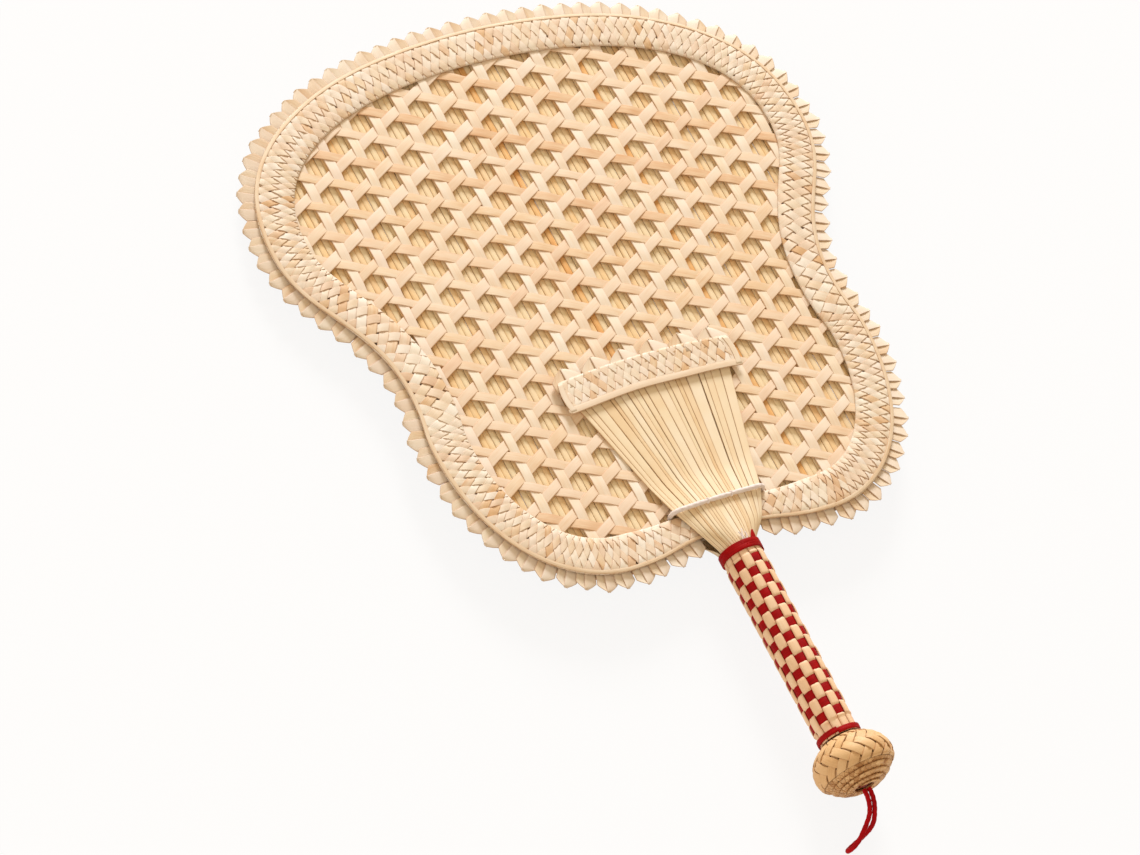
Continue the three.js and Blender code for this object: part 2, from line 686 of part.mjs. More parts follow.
// Doubled cord: two strands side by side that part into an eye and meet at its tip
function hangingLoop() {
  const middle = new THREE.CubicBezierCurve3(
    LOOP_EXIT,
    LOOP_EXIT.clone().add(LOOP_STRAIGHT),
    LOOP_EXIT.clone().add(LOOP_DROOP),
    LOOP_EXIT.clone().add(LOOP_TIP),
  );
  const length = middle.getLength();
  const rootHalf = LOOP_RADIUS + CLEARANCE / 2;
  const eyeEnd = 1 - LOOP_EYE_HALF_WIDTH / length;
  const sideAt = (s) => {
    const opening = THREE.MathUtils.smoothstep(s, LOOP_EYE_START, eyeEnd);
    const half = mix(rootHalf, LOOP_EYE_HALF_WIDTH, opening);
    const rounding = Math.sqrt(Math.max(0, 1 - (Math.max(0, s - eyeEnd) / (1 - eyeEnd)) ** 2));
    const direction = new THREE.Vector3(-1, 0, 0).lerp(LOOP_EYE_DIRECTION, opening).normalize();
    return direction.multiplyScalar(half * rounding);
  };
  const stations = [0, 0.12, 0.24, 0.36, 0.48, 0.6, 0.72, eyeEnd, mix(eyeEnd, 1, 0.6), mix(eyeEnd, 1, 0.9)];
  const out = stations.map((s) => middle.getPointAt(s).add(sideAt(s)));
  const home = stations.map((s) => middle.getPointAt(s).sub(sideAt(s)));
  const route = new THREE.CatmullRomCurve3([...out, middle.getPointAt(1), ...home.reverse()]);
  const section = new THREE.Shape(ring2(0, 0, LOOP_RADIUS, 6, 0));
  return new THREE.ExtrudeGeometry(section, { steps: LOOP_STEPS, extrudePath: route, bevelEnabled: false });
}

const fan = new THREE.Group();

function add(name, geometry, color, roughness) {
  const material = new THREE.MeshStandardMaterial({ color, roughness, metalness: 0 });
  const mesh = new THREE.Mesh(geometry, material);
  mesh.name = name;
  fan.add(mesh);
  return mesh;
}

// Front piece and the same piece on the back of the leaf
function addPair(name, geometry, color, roughness) {
  add(`front_${name}`, geometry, color, roughness);
  add(`back_${name}`, geometry, color, roughness).scale.z = -1;
}

const twoDigits = (number) => String(number + 1).padStart(2, "0");
const STRAW = 0xf0d7af;
const GOLDEN_STRAW = 0xeecd96;
const TAN_STRAW = 0xd7af78;
const RED = 0xbe0a19;
const WHITE = 0xe1d7d2;

add("front_weave", weave(weaveGaps()), STRAW, 0.6);
add("back_weave", weave([]), STRAW, 0.6).scale.z = -1;
add("leaf_lining", lining(), GOLDEN_STRAW, 0.65);
addPair("border_braid", borderBraid(), STRAW, 0.6);
add("picot_edging", picotEdging(), STRAW, 0.6);
for (let number = 0; number < RIB_COUNT; number += 1) {
  addPair(`rib_${twoDigits(number)}`, rib(number), GOLDEN_STRAW, 0.5);
}
addPair("cap_braid", capBraid(), STRAW, 0.6);
add("tie_thread", tieThread(), WHITE, 0.8);

add("handle_core", handleCore(), GOLDEN_STRAW, 0.7);
add("red_collar", hoop(COLLAR_INNER, COLLAR_INNER + COLLAR_THICKNESS, -COLLAR_HEIGHT, 0), RED, 0.55);
for (let number = 0; number < WARP_COUNT; number += 1) {
  add(`handle_straw_${twoDigits(number)}`, warp(number), GOLDEN_STRAW, 0.5);
}
const weft = weftSections();
add("red_weft", loft(weft), RED, 0.55);
const endRingOuter = END_RING_INNER + END_RING_THICKNESS;
add("red_end_ring", hoop(END_RING_INNER, endRingOuter, END_RING_BOTTOM_Y, END_RING_TOP_Y), RED, 0.5);

add("pommel_core", pommelCore(), TAN_STRAW, 0.7);
add("pommel_band", pommelBand(), TAN_STRAW, 0.6);
const coil = coilSections();
add("pommel_coil", loft(coil), TAN_STRAW, 0.6);
add("loop_knot", loopKnot(), RED, 0.7);

console.log(`red_weft: least gap to itself ${leastGap(weft, WARP_COUNT - 1).toFixed(2)} mm`);
console.log(`pommel_coil: least gap to itself ${leastGap(coil, COIL_STEPS_PER_TURN / 2).toFixed(2)} mm`);

// The fan lies on the pommel and on the far edge of its back border
const span = LEAF_TOP_Y - PICOT_LENGTH - POMMEL_Y;
const restAngle = Math.asin(POMMEL_RADIUS / Math.hypot(span, BRAID_TOP)) - Math.atan2(BRAID_TOP, span);
fan.rotation.x = -restAngle;
const box = new THREE.Box3().setFromObject(fan, true);
const middle = box.getCenter(new THREE.Vector3());
fan.position.set(-middle.x, -middle.y, -box.min.z);
add("hanging_loop", hangingLoop(), RED, 0.7);

const part = new THREE.Group();
part.add(fan);

export default part;
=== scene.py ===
"""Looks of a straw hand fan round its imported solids: woven leaf, plaits, ribs, red handle and cord loop."""

import json
import math
from dataclasses import dataclass
from typing import Callable

import bpy
import numpy as np
from mathutils import Matrix, Vector


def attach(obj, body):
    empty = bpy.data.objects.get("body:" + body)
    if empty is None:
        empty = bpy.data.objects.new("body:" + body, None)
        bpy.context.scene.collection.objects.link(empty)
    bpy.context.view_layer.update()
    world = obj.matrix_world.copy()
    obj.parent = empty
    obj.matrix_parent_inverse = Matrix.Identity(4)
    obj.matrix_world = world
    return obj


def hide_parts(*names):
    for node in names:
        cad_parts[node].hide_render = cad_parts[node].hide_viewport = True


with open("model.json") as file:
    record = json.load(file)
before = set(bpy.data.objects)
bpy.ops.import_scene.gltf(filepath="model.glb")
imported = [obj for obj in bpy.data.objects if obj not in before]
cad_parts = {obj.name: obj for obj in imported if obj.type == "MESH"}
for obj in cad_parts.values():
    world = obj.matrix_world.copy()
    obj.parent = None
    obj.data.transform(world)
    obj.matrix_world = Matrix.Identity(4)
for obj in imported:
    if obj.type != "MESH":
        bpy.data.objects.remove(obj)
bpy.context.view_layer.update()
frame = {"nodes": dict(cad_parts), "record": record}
rng = np.random.default_rng(11)

# Sizes in millimetres, in the fan's frame: x across the leaf, y from collar to leaf top, z out of the front
CLEARANCE = 0.3

# Leaf outline, to the tips of its picots
LEAF_TOP_Y = 267
SHOULDER_Y = 182
SHOULDER_HALF_WIDTH = 135
WAIST_Y = 102
WAIST_HALF_WIDTH = 108
LOBE_Y = 76
LOBE_HALF_WIDTH = 110.5
FOOT_X = 48
FOOT_Y = -3
NECK_Y = 2

# Woven faces of the leaf and the straws between them
GAP_CENTRE = (5.3, 2.9)
GAP_COLUMN_STEP = 13.75
GAP_ROW_STEP = 14.6
STRIP_WIDTHS = (4.6, 4.2, 4.4)
STRIP_THICKNESS = 0.35
STRIP_SWING = 0.28
STRIP_STEP = 1.7
STRIP_DRIFT = 0.2
WEAVE_MIDDLE = 1.25
SHEET_INSET = 13
LINING_INSET = SHEET_INSET + 0.5
LINING_PITCH = 2.75
LINING_MIDDLE = -0.5
LINING_THICKNESS = 0.8

# Plaits in general; a strand changes sides within a share of each crossing
PLAIT_THICKNESS = 0.4
PLAIT_STEP = 0.9
PLAIT_ROLL = 0.8
PLAIT_SHORTEST = 1
PLAIT_CROSSING = 0.38
PLAIT_END = 0.5
FOLD_THICKNESS = 0.6

# Border plaits and picots
BRAID_WIDTH = 16.5
BRAID_MIDDLE = 2.6
BRAID_TOP = 3.4
BRAID_PITCH = 4.6
BRAID_ROWS = 4
BRAID_SWING = 0.36
BRAID_ROLL = 0.6
BRAID_ROLL_WIDTH = 3.5
BRAID_FOLD_WIDTH = 1.6
BRAID_FOLD_INSET = 0.9
PICOT_LENGTH = 7
PICOT_PITCH = 8.9
PICOT_END = 13
PICOT_BASE = 4
PICOT_LAP = 0.9
PICOT_TILT = 0.42
PICOT_LEVEL = 0.6
PICOT_POINT = 0.34
NECK_NARROWING = 6
NECK_REACH = 30

# Ribs over each face of the leaf
RIB_COUNT = 14
RIB_THICKNESS = 0.9
RIB_TUCK = 2.2
RIB_RING_RADIUS = 7.2
RIB_NECK_HALF_WIDTH = 14
RIB_NECK_ARCH = 2.8
RIB_TIE_HALF_WIDTH = 20.5
RIB_TIE_ARCH = 1.2
RIB_DROP = 14
RIB_TOP_HALF_WIDTH = 38.5
RIB_SEAT = 1.8

# Cap plaits and the tie thread
CAP_Y = 75
CAP_HALF_LENGTH = 41.5
CAP_WIDTH = 15
CAP_PICOTS = 6
CAP_PICOT_LENGTH = 5.5
CAP_ARCH = 2.5
CAP_MIDDLE = 3.8
CAP_POCKET = 4
CAP_HEM = 3
CAP_PITCH = 4
CAP_ROWS = 4
CAP_SWING = 0.3
CAP_LAP = 0.8
CAP_END_WIDTH = 2.6
CAP_END_STEP = 1.6
CAP_END_THICKNESS = 0.45
TIE_RADIUS = 0.8
STITCH_RADIUS = 0.95
STITCH_REACH = 1.6
THREAD_RADIUS = 0.3
RIB_TOP_Y = CAP_Y + CAP_WIDTH - CAP_POCKET

# Woven handle: the straws and the weft swing to both sides of one middle radius
HANDLE_MIDDLE = 8.05
COLLAR_HEIGHT = 4.5
COLLAR_RADIUS = 8.8
COLLAR_THICKNESS = 0.8
COLLAR_TURNS = 3
COLLAR_STRIP_WIDTH = 1.95
COLLAR_END_BOTTOM = -2
COLLAR_END_BEND = 1
COLLAR_END_TOP = 3.4
COLLAR_END_THICKNESS = 0.5
WARP_COUNT = 13
WARP_WIDTH = 4.05
WARP_THICKNESS = 0.6
WARP_SWING = 0.55
WARP_SETTLING = 1.5
WEFT_TURNS = 15
WEFT_PITCH = 5.1
WEFT_WIDTH = 3.9
WEFT_THICKNESS = 0.45
WEFT_SWING = 0.3
WEFT_TOP_Y = -COLLAR_HEIGHT - CLEARANCE - WEFT_PITCH / 2
END_RING_TOP_Y = WEFT_TOP_Y - WEFT_PITCH * (WEFT_TURNS + 0.5) - CLEARANCE
END_RING_HEIGHT = 2.7
END_RING_RADIUS = 8.85
END_RING_THICKNESS = 0.8
END_RING_TURNS = 2
END_RING_STRIP_WIDTH = 1.5
END_RING_MARGIN = 0.6

# Pommel
POMMEL_RADIUS = 17
POMMEL_HALF_HEIGHT = 12.5
POMMEL_MOUTH_RADIUS = 7.5
POMMEL_MOUTH_RISE = POMMEL_HALF_HEIGHT * math.sqrt(1 - (POMMEL_MOUTH_RADIUS / POMMEL_RADIUS) ** 2)
POMMEL_Y = END_RING_TOP_Y - END_RING_HEIGHT - CLEARANCE - POMMEL_MOUTH_RISE
POMMEL_BAND_THICKNESS = 1.6
POMMEL_BAND_DROP = 4.6
POMMEL_CHEVRONS = 18
POMMEL_STRAND_THICKNESS = 0.6
POMMEL_SWING = 0.45
COIL_INSET = 1.5
COIL_START_DROP = 4.4
COIL_END_RADIUS = 4
COIL_PITCH = 2.8
COIL_LAP = 0.5
COIL_TILT = 0.3
COIL_STRAND_PITCH = 2.2
COIL_STRAND_THICKNESS = 0.45
COIL_SWING = 0.16
COIL_BACKING_DEPTH = 0.55
COIL_BACKING_THICKNESS = 0.5
COIL_END_ANGLE = math.acos(COIL_END_RADIUS / (POMMEL_RADIUS - COIL_INSET))
COIL_END_DROP = (POMMEL_HALF_HEIGHT - COIL_INSET) * math.sin(COIL_END_ANGLE)

# Cord loop
LOOP_EXIT = np.array((0, POMMEL_Y - COIL_END_DROP - 2 * CLEARANCE, 0))
LOOP_RADIUS = 1
LOOP_TWIST = 7
LOOP_ROOT_HALF_WIDTH = 1.15
LOOP_EYE_HALF_WIDTH = 4.5
LOOP_EYE_START = 0.3
LOOP_STRAIGHT = (0, -10, 0.5)
LOOP_DROOP = (-4, -16, -7)
LOOP_TIP = (-11.6, -16.4, -15.6)
LOOP_EYE_DIRECTION = (-0.68, -0.39, 0.62)

# View of the fan
CAMERA_TARGET = (-42.19, 71.77, 0)
CAMERA_BACK = Vector((-0.4485, -0.3644, 0.8161))
CAMERA_UP = Vector((0.2521, 0.8244, 0.5067))
CAMERA_DISTANCE = 1781.7
CAMERA_LENS = 140.2
CAMERA_SENSOR = 36

# Where the fan lies: its back rests on the flat mount, a known point of the back border
MOUNT_POINT = np.array((4, 250, -BRAID_TOP))
mount = frame["record"]["mounts"][0]
front = -Vector(mount["axis"])
sideways = Vector((1, 0, 0))
FAN_AXES = np.array((sideways, front.cross(sideways), front))
FAN_ORIGIN = np.array(mount["pos_m"]) - 0.001 * MOUNT_POINT @ FAN_AXES


def to_row(points):
    return 0.001 * np.asarray(points, float) @ FAN_AXES + FAN_ORIGIN


def mix(a, b, share):
    return a + (b - a) * share


def smoothstep(value, low, high):
    share = np.clip((value - low) / (high - low), 0, 1)
    return share * share * (3 - 2 * share)


def bezier(points, count):
    a, b, c, d = np.array(points, float)
    t = np.linspace(0, 1, count)[:, None]
    return (1 - t) ** 3 * a + 3 * t * (1 - t) ** 2 * b + 3 * t**2 * (1 - t) * c + t**3 * d


def lengths_along(points):
    return np.concatenate(([0], np.cumsum(np.linalg.norm(np.diff(points, axis=0), axis=1))))


def at_length(points, distance):
    lengths = lengths_along(points)
    return np.stack([np.interp(distance, lengths, column) for column in points.T], axis=-1)


def new_object(name, data):
    item = bpy.data.objects.new(name, data)
    bpy.context.scene.collection.objects.link(item)
    return item


# Camera and lights


def camera_axes():
    back = CAMERA_BACK.normalized()
    right = CAMERA_UP.cross(back).normalized()
    up = back.cross(right)
    return [Vector(np.array(axis) @ FAN_AXES) for axis in (right, up, back)]


def make_camera():
    data = bpy.data.cameras.new("camera")
    data.lens = CAMERA_LENS
    data.sensor_width = CAMERA_SENSOR
    camera = new_object("camera", data)
    right, up, back = camera_axes()
    place = Vector(to_row(CAMERA_TARGET)) + back * (0.001 * CAMERA_DISTANCE)
    camera.matrix_world = Matrix.Translation(place) @ Matrix((right, up, back)).transposed().to_4x4()
    bpy.context.scene.camera = camera


def make_light(name, direction, distance, size, energy):
    """Square lamp some metres from the fan, in a direction given along the view's right, up and back."""
    data = bpy.data.lights.new(name, "AREA")
    data.size = size
    data.energy = energy
    lamp = new_object(name, data)
    towards = sum((axis * share for axis, share in zip(camera_axes(), direction)), Vector()).normalized()
    lamp.location = Vector(to_row(CAMERA_TARGET)) + towards * distance
    lamp.rotation_mode = "QUATERNION"
    lamp.rotation_quaternion = towards.to_track_quat("Z", "Y")


def make_world(colour, strength):
    world = bpy.data.worlds.new("studio")
    world.use_nodes = True
    background = world.node_tree.nodes["Background"]
    background.inputs["Color"].default_value = (*colour, 1)
    background.inputs["Strength"].default_value = strength
    bpy.context.scene.world = world


# Materials, with the depth of their grain in metres

GRAIN_DEPTH = 0.0002


def srgb(*levels):
    """Colour as the shader takes it, from the usual 0 to 255 values."""
    shares = [level / 255 for level in levels]
    linear = [share / 12.92 if share <= 0.04045 else ((share + 0.055) / 1.055) ** 2.4 for share in shares]
    return (*linear, 1)


class Shader:
    """Principled material with short ways to add and link nodes."""

    def __init__(self, name):
        self.material = bpy.data.materials.new(name)
        self.material.use_nodes = True
        self.tree = self.material.node_tree
        self.surface = self.tree.nodes["Principled BSDF"]

    def add(self, kind, inputs=None, **settings):
        node = self.tree.nodes.new("ShaderNode" + kind)
        for setting, value in settings.items():
            setattr(node, setting, value)
        for socket, value in (inputs or {}).items():
            if isinstance(value, bpy.types.NodeSocket):
                self.tree.links.new(value, node.inputs[socket])
            else:
                node.inputs[socket].default_value = value
        return node

    def fibres(self, across, along, detail=4.0):
        """Noise drawn out along each strip, in cycles per millimetre."""
        place = self.add("UVMap", uv_map="fibres").outputs["UV"]
        stretched = self.add("Mapping", {"Vector": place, "Scale": (across, along, 1)}).outputs["Vector"]
        inputs = {"Vector": stretched, "Scale": 1.0, "Detail": detail, "Roughness": 0.6}
        return self.add("TexNoise", inputs, noise_dimensions="2D").outputs["Fac"]

    def attribute(self, name):
        return self.add("Attribute", attribute_name=name).outputs["Fac"]

    def math(self, operation, first, second):
        return self.add("Math", {0: first, 1: second}, operation=operation).outputs[0]

    def blend(self, factor, first, second):
        """Mix of two colours."""
        return self.add("Mix", {0: factor, 6: first, 7: second}, data_type="RGBA").outputs[2]

    def ramp(self, factor, stops):
        node = self.add("ValToRGB", {"Fac": factor})
        elements = node.color_ramp.elements
        while len(elements) < len(stops):
            elements.new(1.0)
        for element, (position, colour) in zip(elements, stops):
            element.position = position
            element.color = srgb(*colour)
        return node.outputs["Color"]

    def link(self, socket, value):
        self.tree.links.new(value, self.surface.inputs[socket])

    def roughness(self, factor, low, high):
        spread = self.add("MapRange", {"Value": factor, "To Min": low, "To Max": high})
        self.link("Roughness", spread.outputs["Result"])

    def bump(self, height, strength):
        node = self.add("Bump", {"Height": height, "Strength": strength, "Distance": GRAIN_DEPTH})
        self.link("Normal", node.outputs["Normal"])


def straw_material(name, stops, blush_colour, edge_and_shade_colour, rough):
    """Split straw: a tint and a blush for each strip, fibre streaks, soft blotches and browner edges, partly
    the straw's own and partly painted shade.
    """
    shader = Shader(name)
    streaks = shader.fibres(3.2, 0.05)
    blotches = shader.fibres(0.25, 0.07, detail=2.0)
    fine = shader.math("MULTIPLY", streaks, 0.45)
    broad = shader.math("MULTIPLY", blotches, 0.55)
    uneven = shader.math("ADD", fine, broad)
    tone = shader.math("ADD", shader.attribute("tint"), shader.math("SUBTRACT", uneven, 0.5))
    blush = shader.math("MULTIPLY", shader.attribute("blush"), 0.5)
    colour = shader.blend(blush, shader.ramp(tone, stops), srgb(*blush_colour))
    # Browner strip sides: partly the straw's own edges, partly painted shade in the slits and creases between
    # strips.
    edge = shader.math("MULTIPLY", shader.attribute("edge"), 0.55)
    shader.link("Base Color", shader.blend(edge, colour, srgb(*edge_and_shade_colour)))
    shader.roughness(streaks, rough - 0.1, rough + 0.12)
    shader.bump(streaks, 0.35)
    return shader.material


def dyed_material(name, dark, light, yarn_scale, rough):
    """Dyed strip or cord: fine yarn lines, uneven dye and little gloss."""
    shader = Shader(name)
    yarn = shader.fibres(*yarn_scale, detail=3.0)
    patches = shader.fibres(0.3, 0.2, detail=2.0)
    fine = shader.math("MULTIPLY", yarn, 0.6)
    broad = shader.math("MULTIPLY", patches, 0.4)
    tone = shader.math("ADD", fine, broad)
    shader.link("Base Color", shader.ramp(tone, [(0.25, dark), (0.75, light)]))
    shader.roughness(yarn, rough - 0.1, rough + 0.1)
    shader.surface.inputs["Specular IOR Level"].default_value = 0.15
    shader.bump(yarn, 0.4)
    return shader.material


def solid_material(name, dark, light, scale):
    """Straw or cord seen only between other pieces: grain along the handle."""
    shader = Shader(name)
    place = shader.add("TexCoord").outputs["Object"]
    inputs = {"Vector": place, "Scale": (scale, scale / 12, scale)}
    stretched = shader.add("Mapping", inputs).outputs["Vector"]
    grain = shader.add("TexNoise", {"Vector": stretched, "Scale": 1.0, "Detail": 4.0}).outputs["Fac"]
    shader.link("Base Color", shader.ramp(grain, [(0.3, dark), (0.7, light)]))
    shader.roughness(grain, 0.6, 0.8)
    shader.bump(grain, 0.4)
    return shader.material


LEAF_STRAW = straw_material(
    "leaf_straw",
    stops=[(0.0, (226, 178, 128)), (0.3, (242, 213, 176)), (0.6, (249, 232, 207)), (1.0, (253, 246, 234))],
    blush_colour=(247, 224, 207),
    edge_and_shade_colour=(196, 136, 82),
    rough=0.58,
)
LINING_STRAW = straw_material(
    "lining_straw",
    stops=[(0.0, (208, 132, 58)), (0.35, (243, 182, 104)), (0.65, (253, 214, 152)), (1.0, (255, 238, 200))],
    blush_colour=(253, 228, 190),
    # Dark edge colour: painted shade in the slits between the lining straws.
    edge_and_shade_colour=(124, 54, 12),
    rough=0.55,
)
PLAIT_STRAW = straw_material(
    "plait_straw",
    stops=[(0.0, (226, 186, 138)), (0.3, (240, 218, 187)), (0.65, (246, 235, 216)), (1.0, (252, 247, 236))],
    blush_colour=(243, 224, 210),
    edge_and_shade_colour=(176, 118, 68),
    rough=0.56,
)
RIB_STRAW = straw_material(
    "rib_straw",
    stops=[(0.0, (222, 178, 122)), (0.35, (242, 216, 175)), (0.7, (248, 232, 200)), (1.0, (252, 242, 222))],
    blush_colour=(250, 230, 198),
    edge_and_shade_colour=(190, 136, 76),
    rough=0.64,
)
WARP_STRAW = straw_material(
    "warp_straw",
    stops=[(0.0, (230, 170, 116)), (0.4, (248, 208, 162)), (0.8, (252, 224, 188)), (1.0, (254, 236, 208))],
    blush_colour=(253, 222, 196),
    edge_and_shade_colour=(206, 128, 78),
    rough=0.56,
)
POMMEL_STRAW = straw_material(
    "pommel_straw",
    stops=[(0.0, (178, 124, 70)), (0.4, (222, 176, 120)), (0.75, (238, 196, 142)), (1.0, (248, 212, 162))],
    blush_colour=(240, 204, 156),
    edge_and_shade_colour=(142, 90, 44),
    rough=0.55,
)
RED_STRIP = dyed_material("red_strip", (136, 0, 4), (188, 2, 10), yarn_scale=(3.0, 0.08), rough=0.6)
RED_CORD = dyed_material("red_cord", (150, 0, 10), (204, 4, 24), yarn_scale=(1.2, 1.6), rough=0.7)
WHITE_THREAD = dyed_material(
    "white_thread", (236, 226, 228), (252, 246, 246), yarn_scale=(1.4, 1.8), rough=0.7
)
CORE_STRAW = solid_material("core_straw", (150, 96, 48), (196, 144, 86), scale=900)
KNOT_CORD = solid_material("knot_cord", (130, 4, 14), (178, 10, 26), scale=1500)


# Strips of straw as closed meshes: sections in shares of half the width and half the thickness

BEVEL = 0.82
FLAT = np.array(
    [(-1, 0), (-0.95, 0.8), (-BEVEL, 1), (BEVEL, 1), (0.95, 0.8)]
    + [(1, 0), (0.95, -0.8), (BEVEL, -1), (-BEVEL, -1), (-0.95, -0.8)]
)
SIDE = FLAT[:, 0]
CORNERS = len(FLAT)
TURN = np.linspace(0, 2 * np.pi, CORNERS, endpoint=False)
ROUND = np.stack((-np.cos(TURN), np.sin(TURN)), axis=-1)
PILLOW = np.array(
    [(-1, -0.2), (-0.92, 0.4), (-0.55, 1.1), (0.55, 1.1), (0.92, 0.4)]
    + [(1, -0.2), (0.92, -0.8), (0.6, -1), (-0.6, -1), (-0.92, -0.8)]
)


def spread(value, shape):
    """One value, or a value for each row, or for each corner, over rows of corners."""
    value = np.asarray(value, float)
    return np.broadcast_to(value if value.ndim == 2 else value.reshape(-1, 1), shape)


class Strands:
    """Strips gathered into one mesh, each with a tint, a blush, browner edges partly painted as shade, and
    fibre coordinates.
    """

    def __init__(self):
        self.points = []
        self.faces = []
        self.fibres = []
        self.looks = {"tint": [], "blush": [], "edge": []}
        self.count = 0

    def add(self, points, fibres, ring=False, **looks):
        """Skin over rows of section corners, closed by end faces or joined into a ring."""
        rows, corners = points.shape[:2]
        number = np.arange(rows * corners).reshape(rows, corners)
        near = number if ring else number[:-1]
        far = np.roll(number, -1, axis=0) if ring else number[1:]
        quads = [near, np.roll(near, -1, axis=1), np.roll(far, -1, axis=1), far]
        faces = np.stack(quads, axis=-1).reshape(-1, 4)
        if not ring:
            lid = np.array([(0, c, c + 1, c + 2) for c in range(1, corners - 2, 2)])
            faces = np.concatenate((faces, number[0][lid[:, ::-1]], number[-1][lid]))
        flat = points.reshape(-1, 3)
        a, b, c, d = (flat[faces[:, corner]] for corner in range(4))
        volume = np.einsum("ij,ij->", a, np.cross(b, c)) + np.einsum("ij,ij->", a, np.cross(c, d))
        if volume < 0:
            faces = faces[:, ::-1]
        self.points.append(flat)
        self.faces.append(faces + self.count)
        self.fibres.append(fibres.reshape(-1, 2))
        for look, value in looks.items():
            self.looks[look].append(np.broadcast_to(value, (rows, corners)).ravel())
        self.count += rows * corners

    def strip(self, place, along, across, width, height, thickness, tint, blush=None, section=FLAT):
        """Strip of straw: place turns distances along it, across it and above it into points."""
        shape = (len(along), CORNERS)
        side, lift = section.T
        offset = spread(width, shape) / 2 * side
        run = spread(along, shape)
        points = place(run, spread(across, shape) + offset, spread(height, shape) + lift * thickness / 2)
        fibres = np.stack((offset + 7 * rng.random(), run + 400 * rng.random()), axis=-1)
        pink = rng.random() if blush is None else blush
        # Browner bevelled sides: partly the straw's own edges, partly painted shade where strips meet.
        brown_edge_and_shade = np.clip((np.abs(side) - BEVEL) / (1 - BEVEL), 0, 1)
        self.add(points, fibres, tint=tint, blush=pink, edge=brown_edge_and_shade)

    def tube(self, path, radius, lobes, depth, twist, ring=False):
        """Twisted cord along a path, with lobes that turn once in about every twist of length."""
        before = np.roll(path, 1, axis=0)
        after = np.roll(path, -1, axis=0)
        if not ring:
            before[0] = path[0]
            after[-1] = path[-1]
        tangents = (after - before) / np.linalg.norm(after - before, axis=1)[:, None]
        normals = np.zeros_like(path)
        normal = np.array((1.0, 0, 0))
        for step, tangent in enumerate(tangents):
            normal = normal - tangent * (normal @ tangent)
            normal /= np.linalg.norm(normal)
            normals[step] = normal
        binormals = np.cross(tangents, normals)
        angle = np.linspace(0, 2 * np.pi, 6 * lobes, endpoint=False)
        run = lengths_along(path)
        turn = 2 * np.pi * run / run[-1] * max(1, round(run[-1] / twist))
        spiral = angle[None, :] - turn[:, None]
        swell = spread(radius, spiral.shape) * (1 - depth + depth * np.abs(np.cos(lobes * spiral / 2)))
        cosine = np.cos(angle)[:, None]
        sine = np.sin(angle)[:, None]
        outward = cosine * normals[:, None, :] + sine * binormals[:, None, :]
        points = path[:, None, :] + swell[:, :, None] * outward
        fibres = np.stack((spiral * np.mean(radius), np.broadcast_to(run[:, None], spiral.shape)), axis=-1)
        self.add(points, fibres, ring, tint=0.5, blush=0.5, edge=0)

    def finish(self, name, material, slot, *nodes, body="fan"):
        """Mesh object that rides on a body and stands for solids of the frame."""
        mesh = bpy.data.meshes.new(name)
        faces = np.concatenate(self.faces)
        mesh.from_pydata(to_row(np.concatenate(self.points)).tolist(), [], faces.tolist())
        fibres = np.concatenate(self.fibres)[faces.ravel()]
        mesh.uv_layers.new(name="fibres").data.foreach_set("uv", fibres.ravel())
        for look, values in self.looks.items():
            mesh.attributes.new(look, "FLOAT", "POINT").data.foreach_set("value", np.concatenate(values))
        mesh.polygons.foreach_set("use_smooth", np.ones(len(faces), bool))
        mesh.materials.append(material)
        mesh.update()
        piece = new_object(name, mesh)
        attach(piece, body)
        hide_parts(*nodes)
        return piece


# Leaf outline


def leaf_outline():
    """Closed outline to the picots' tips, counterclockwise from the neck."""
    bend = 0.56
    crown = 0.62
    curl = 0.45
    dip_y = mix(LOBE_Y, WAIST_Y, 0.5)
    neck = (0, NECK_Y)
    foot = (FOOT_X, FOOT_Y)
    lobe = (LOBE_HALF_WIDTH, LOBE_Y)
    waist = (WAIST_HALF_WIDTH, WAIST_Y)
    shoulder = (SHOULDER_HALF_WIDTH, SHOULDER_Y)
    top = (0, LEAF_TOP_Y)
    foot_bend = (mix(FOOT_X, LOBE_HALF_WIDTH, bend), FOOT_Y)
    lobe_bend = (LOBE_HALF_WIDTH, mix(LOBE_Y, FOOT_Y, bend))
    waist_curl = (WAIST_HALF_WIDTH, mix(WAIST_Y, SHOULDER_Y, curl))
    shoulder_curl = (SHOULDER_HALF_WIDTH, mix(SHOULDER_Y, WAIST_Y, curl))
    shoulder_crown = (SHOULDER_HALF_WIDTH, mix(SHOULDER_Y, LEAF_TOP_Y, crown))
    curves = [
        (neck, (FOOT_X / 2, NECK_Y), (FOOT_X / 2, FOOT_Y), foot),
        (foot, foot_bend, lobe_bend, lobe),
        (lobe, (LOBE_HALF_WIDTH, dip_y), (WAIST_HALF_WIDTH, dip_y), waist),
        (waist, waist_curl, shoulder_curl, shoulder),
        (shoulder, shoulder_crown, (SHOULDER_HALF_WIDTH * crown, LEAF_TOP_Y), top),
    ]
    right = np.concatenate([bezier(curve, 300)[:-1] for curve in curves] + [np.array([top], float)])
    left = right[-2::-1] * (-1, 1)
    return np.concatenate((right, left))


OUTLINE = leaf_outline()
OUTLINE_RUN = lengths_along(OUTLINE)
OUTLINE_LENGTH = OUTLINE_RUN[-1]
OUTLINE_TANGENT = np.gradient(OUTLINE, OUTLINE_RUN, axis=0)


def edge(distance, inset):
    """Point a given way in from the outline, at a distance along it from the neck."""
    distance = np.mod(distance, OUTLINE_LENGTH)
    x, y = (np.interp(distance, OUTLINE_RUN, column) for column in OUTLINE.T)
    along_x, along_y = (np.interp(distance, OUTLINE_RUN, column) for column in OUTLINE_TANGENT.T)
    return x - along_y * inset, y + along_x * inset


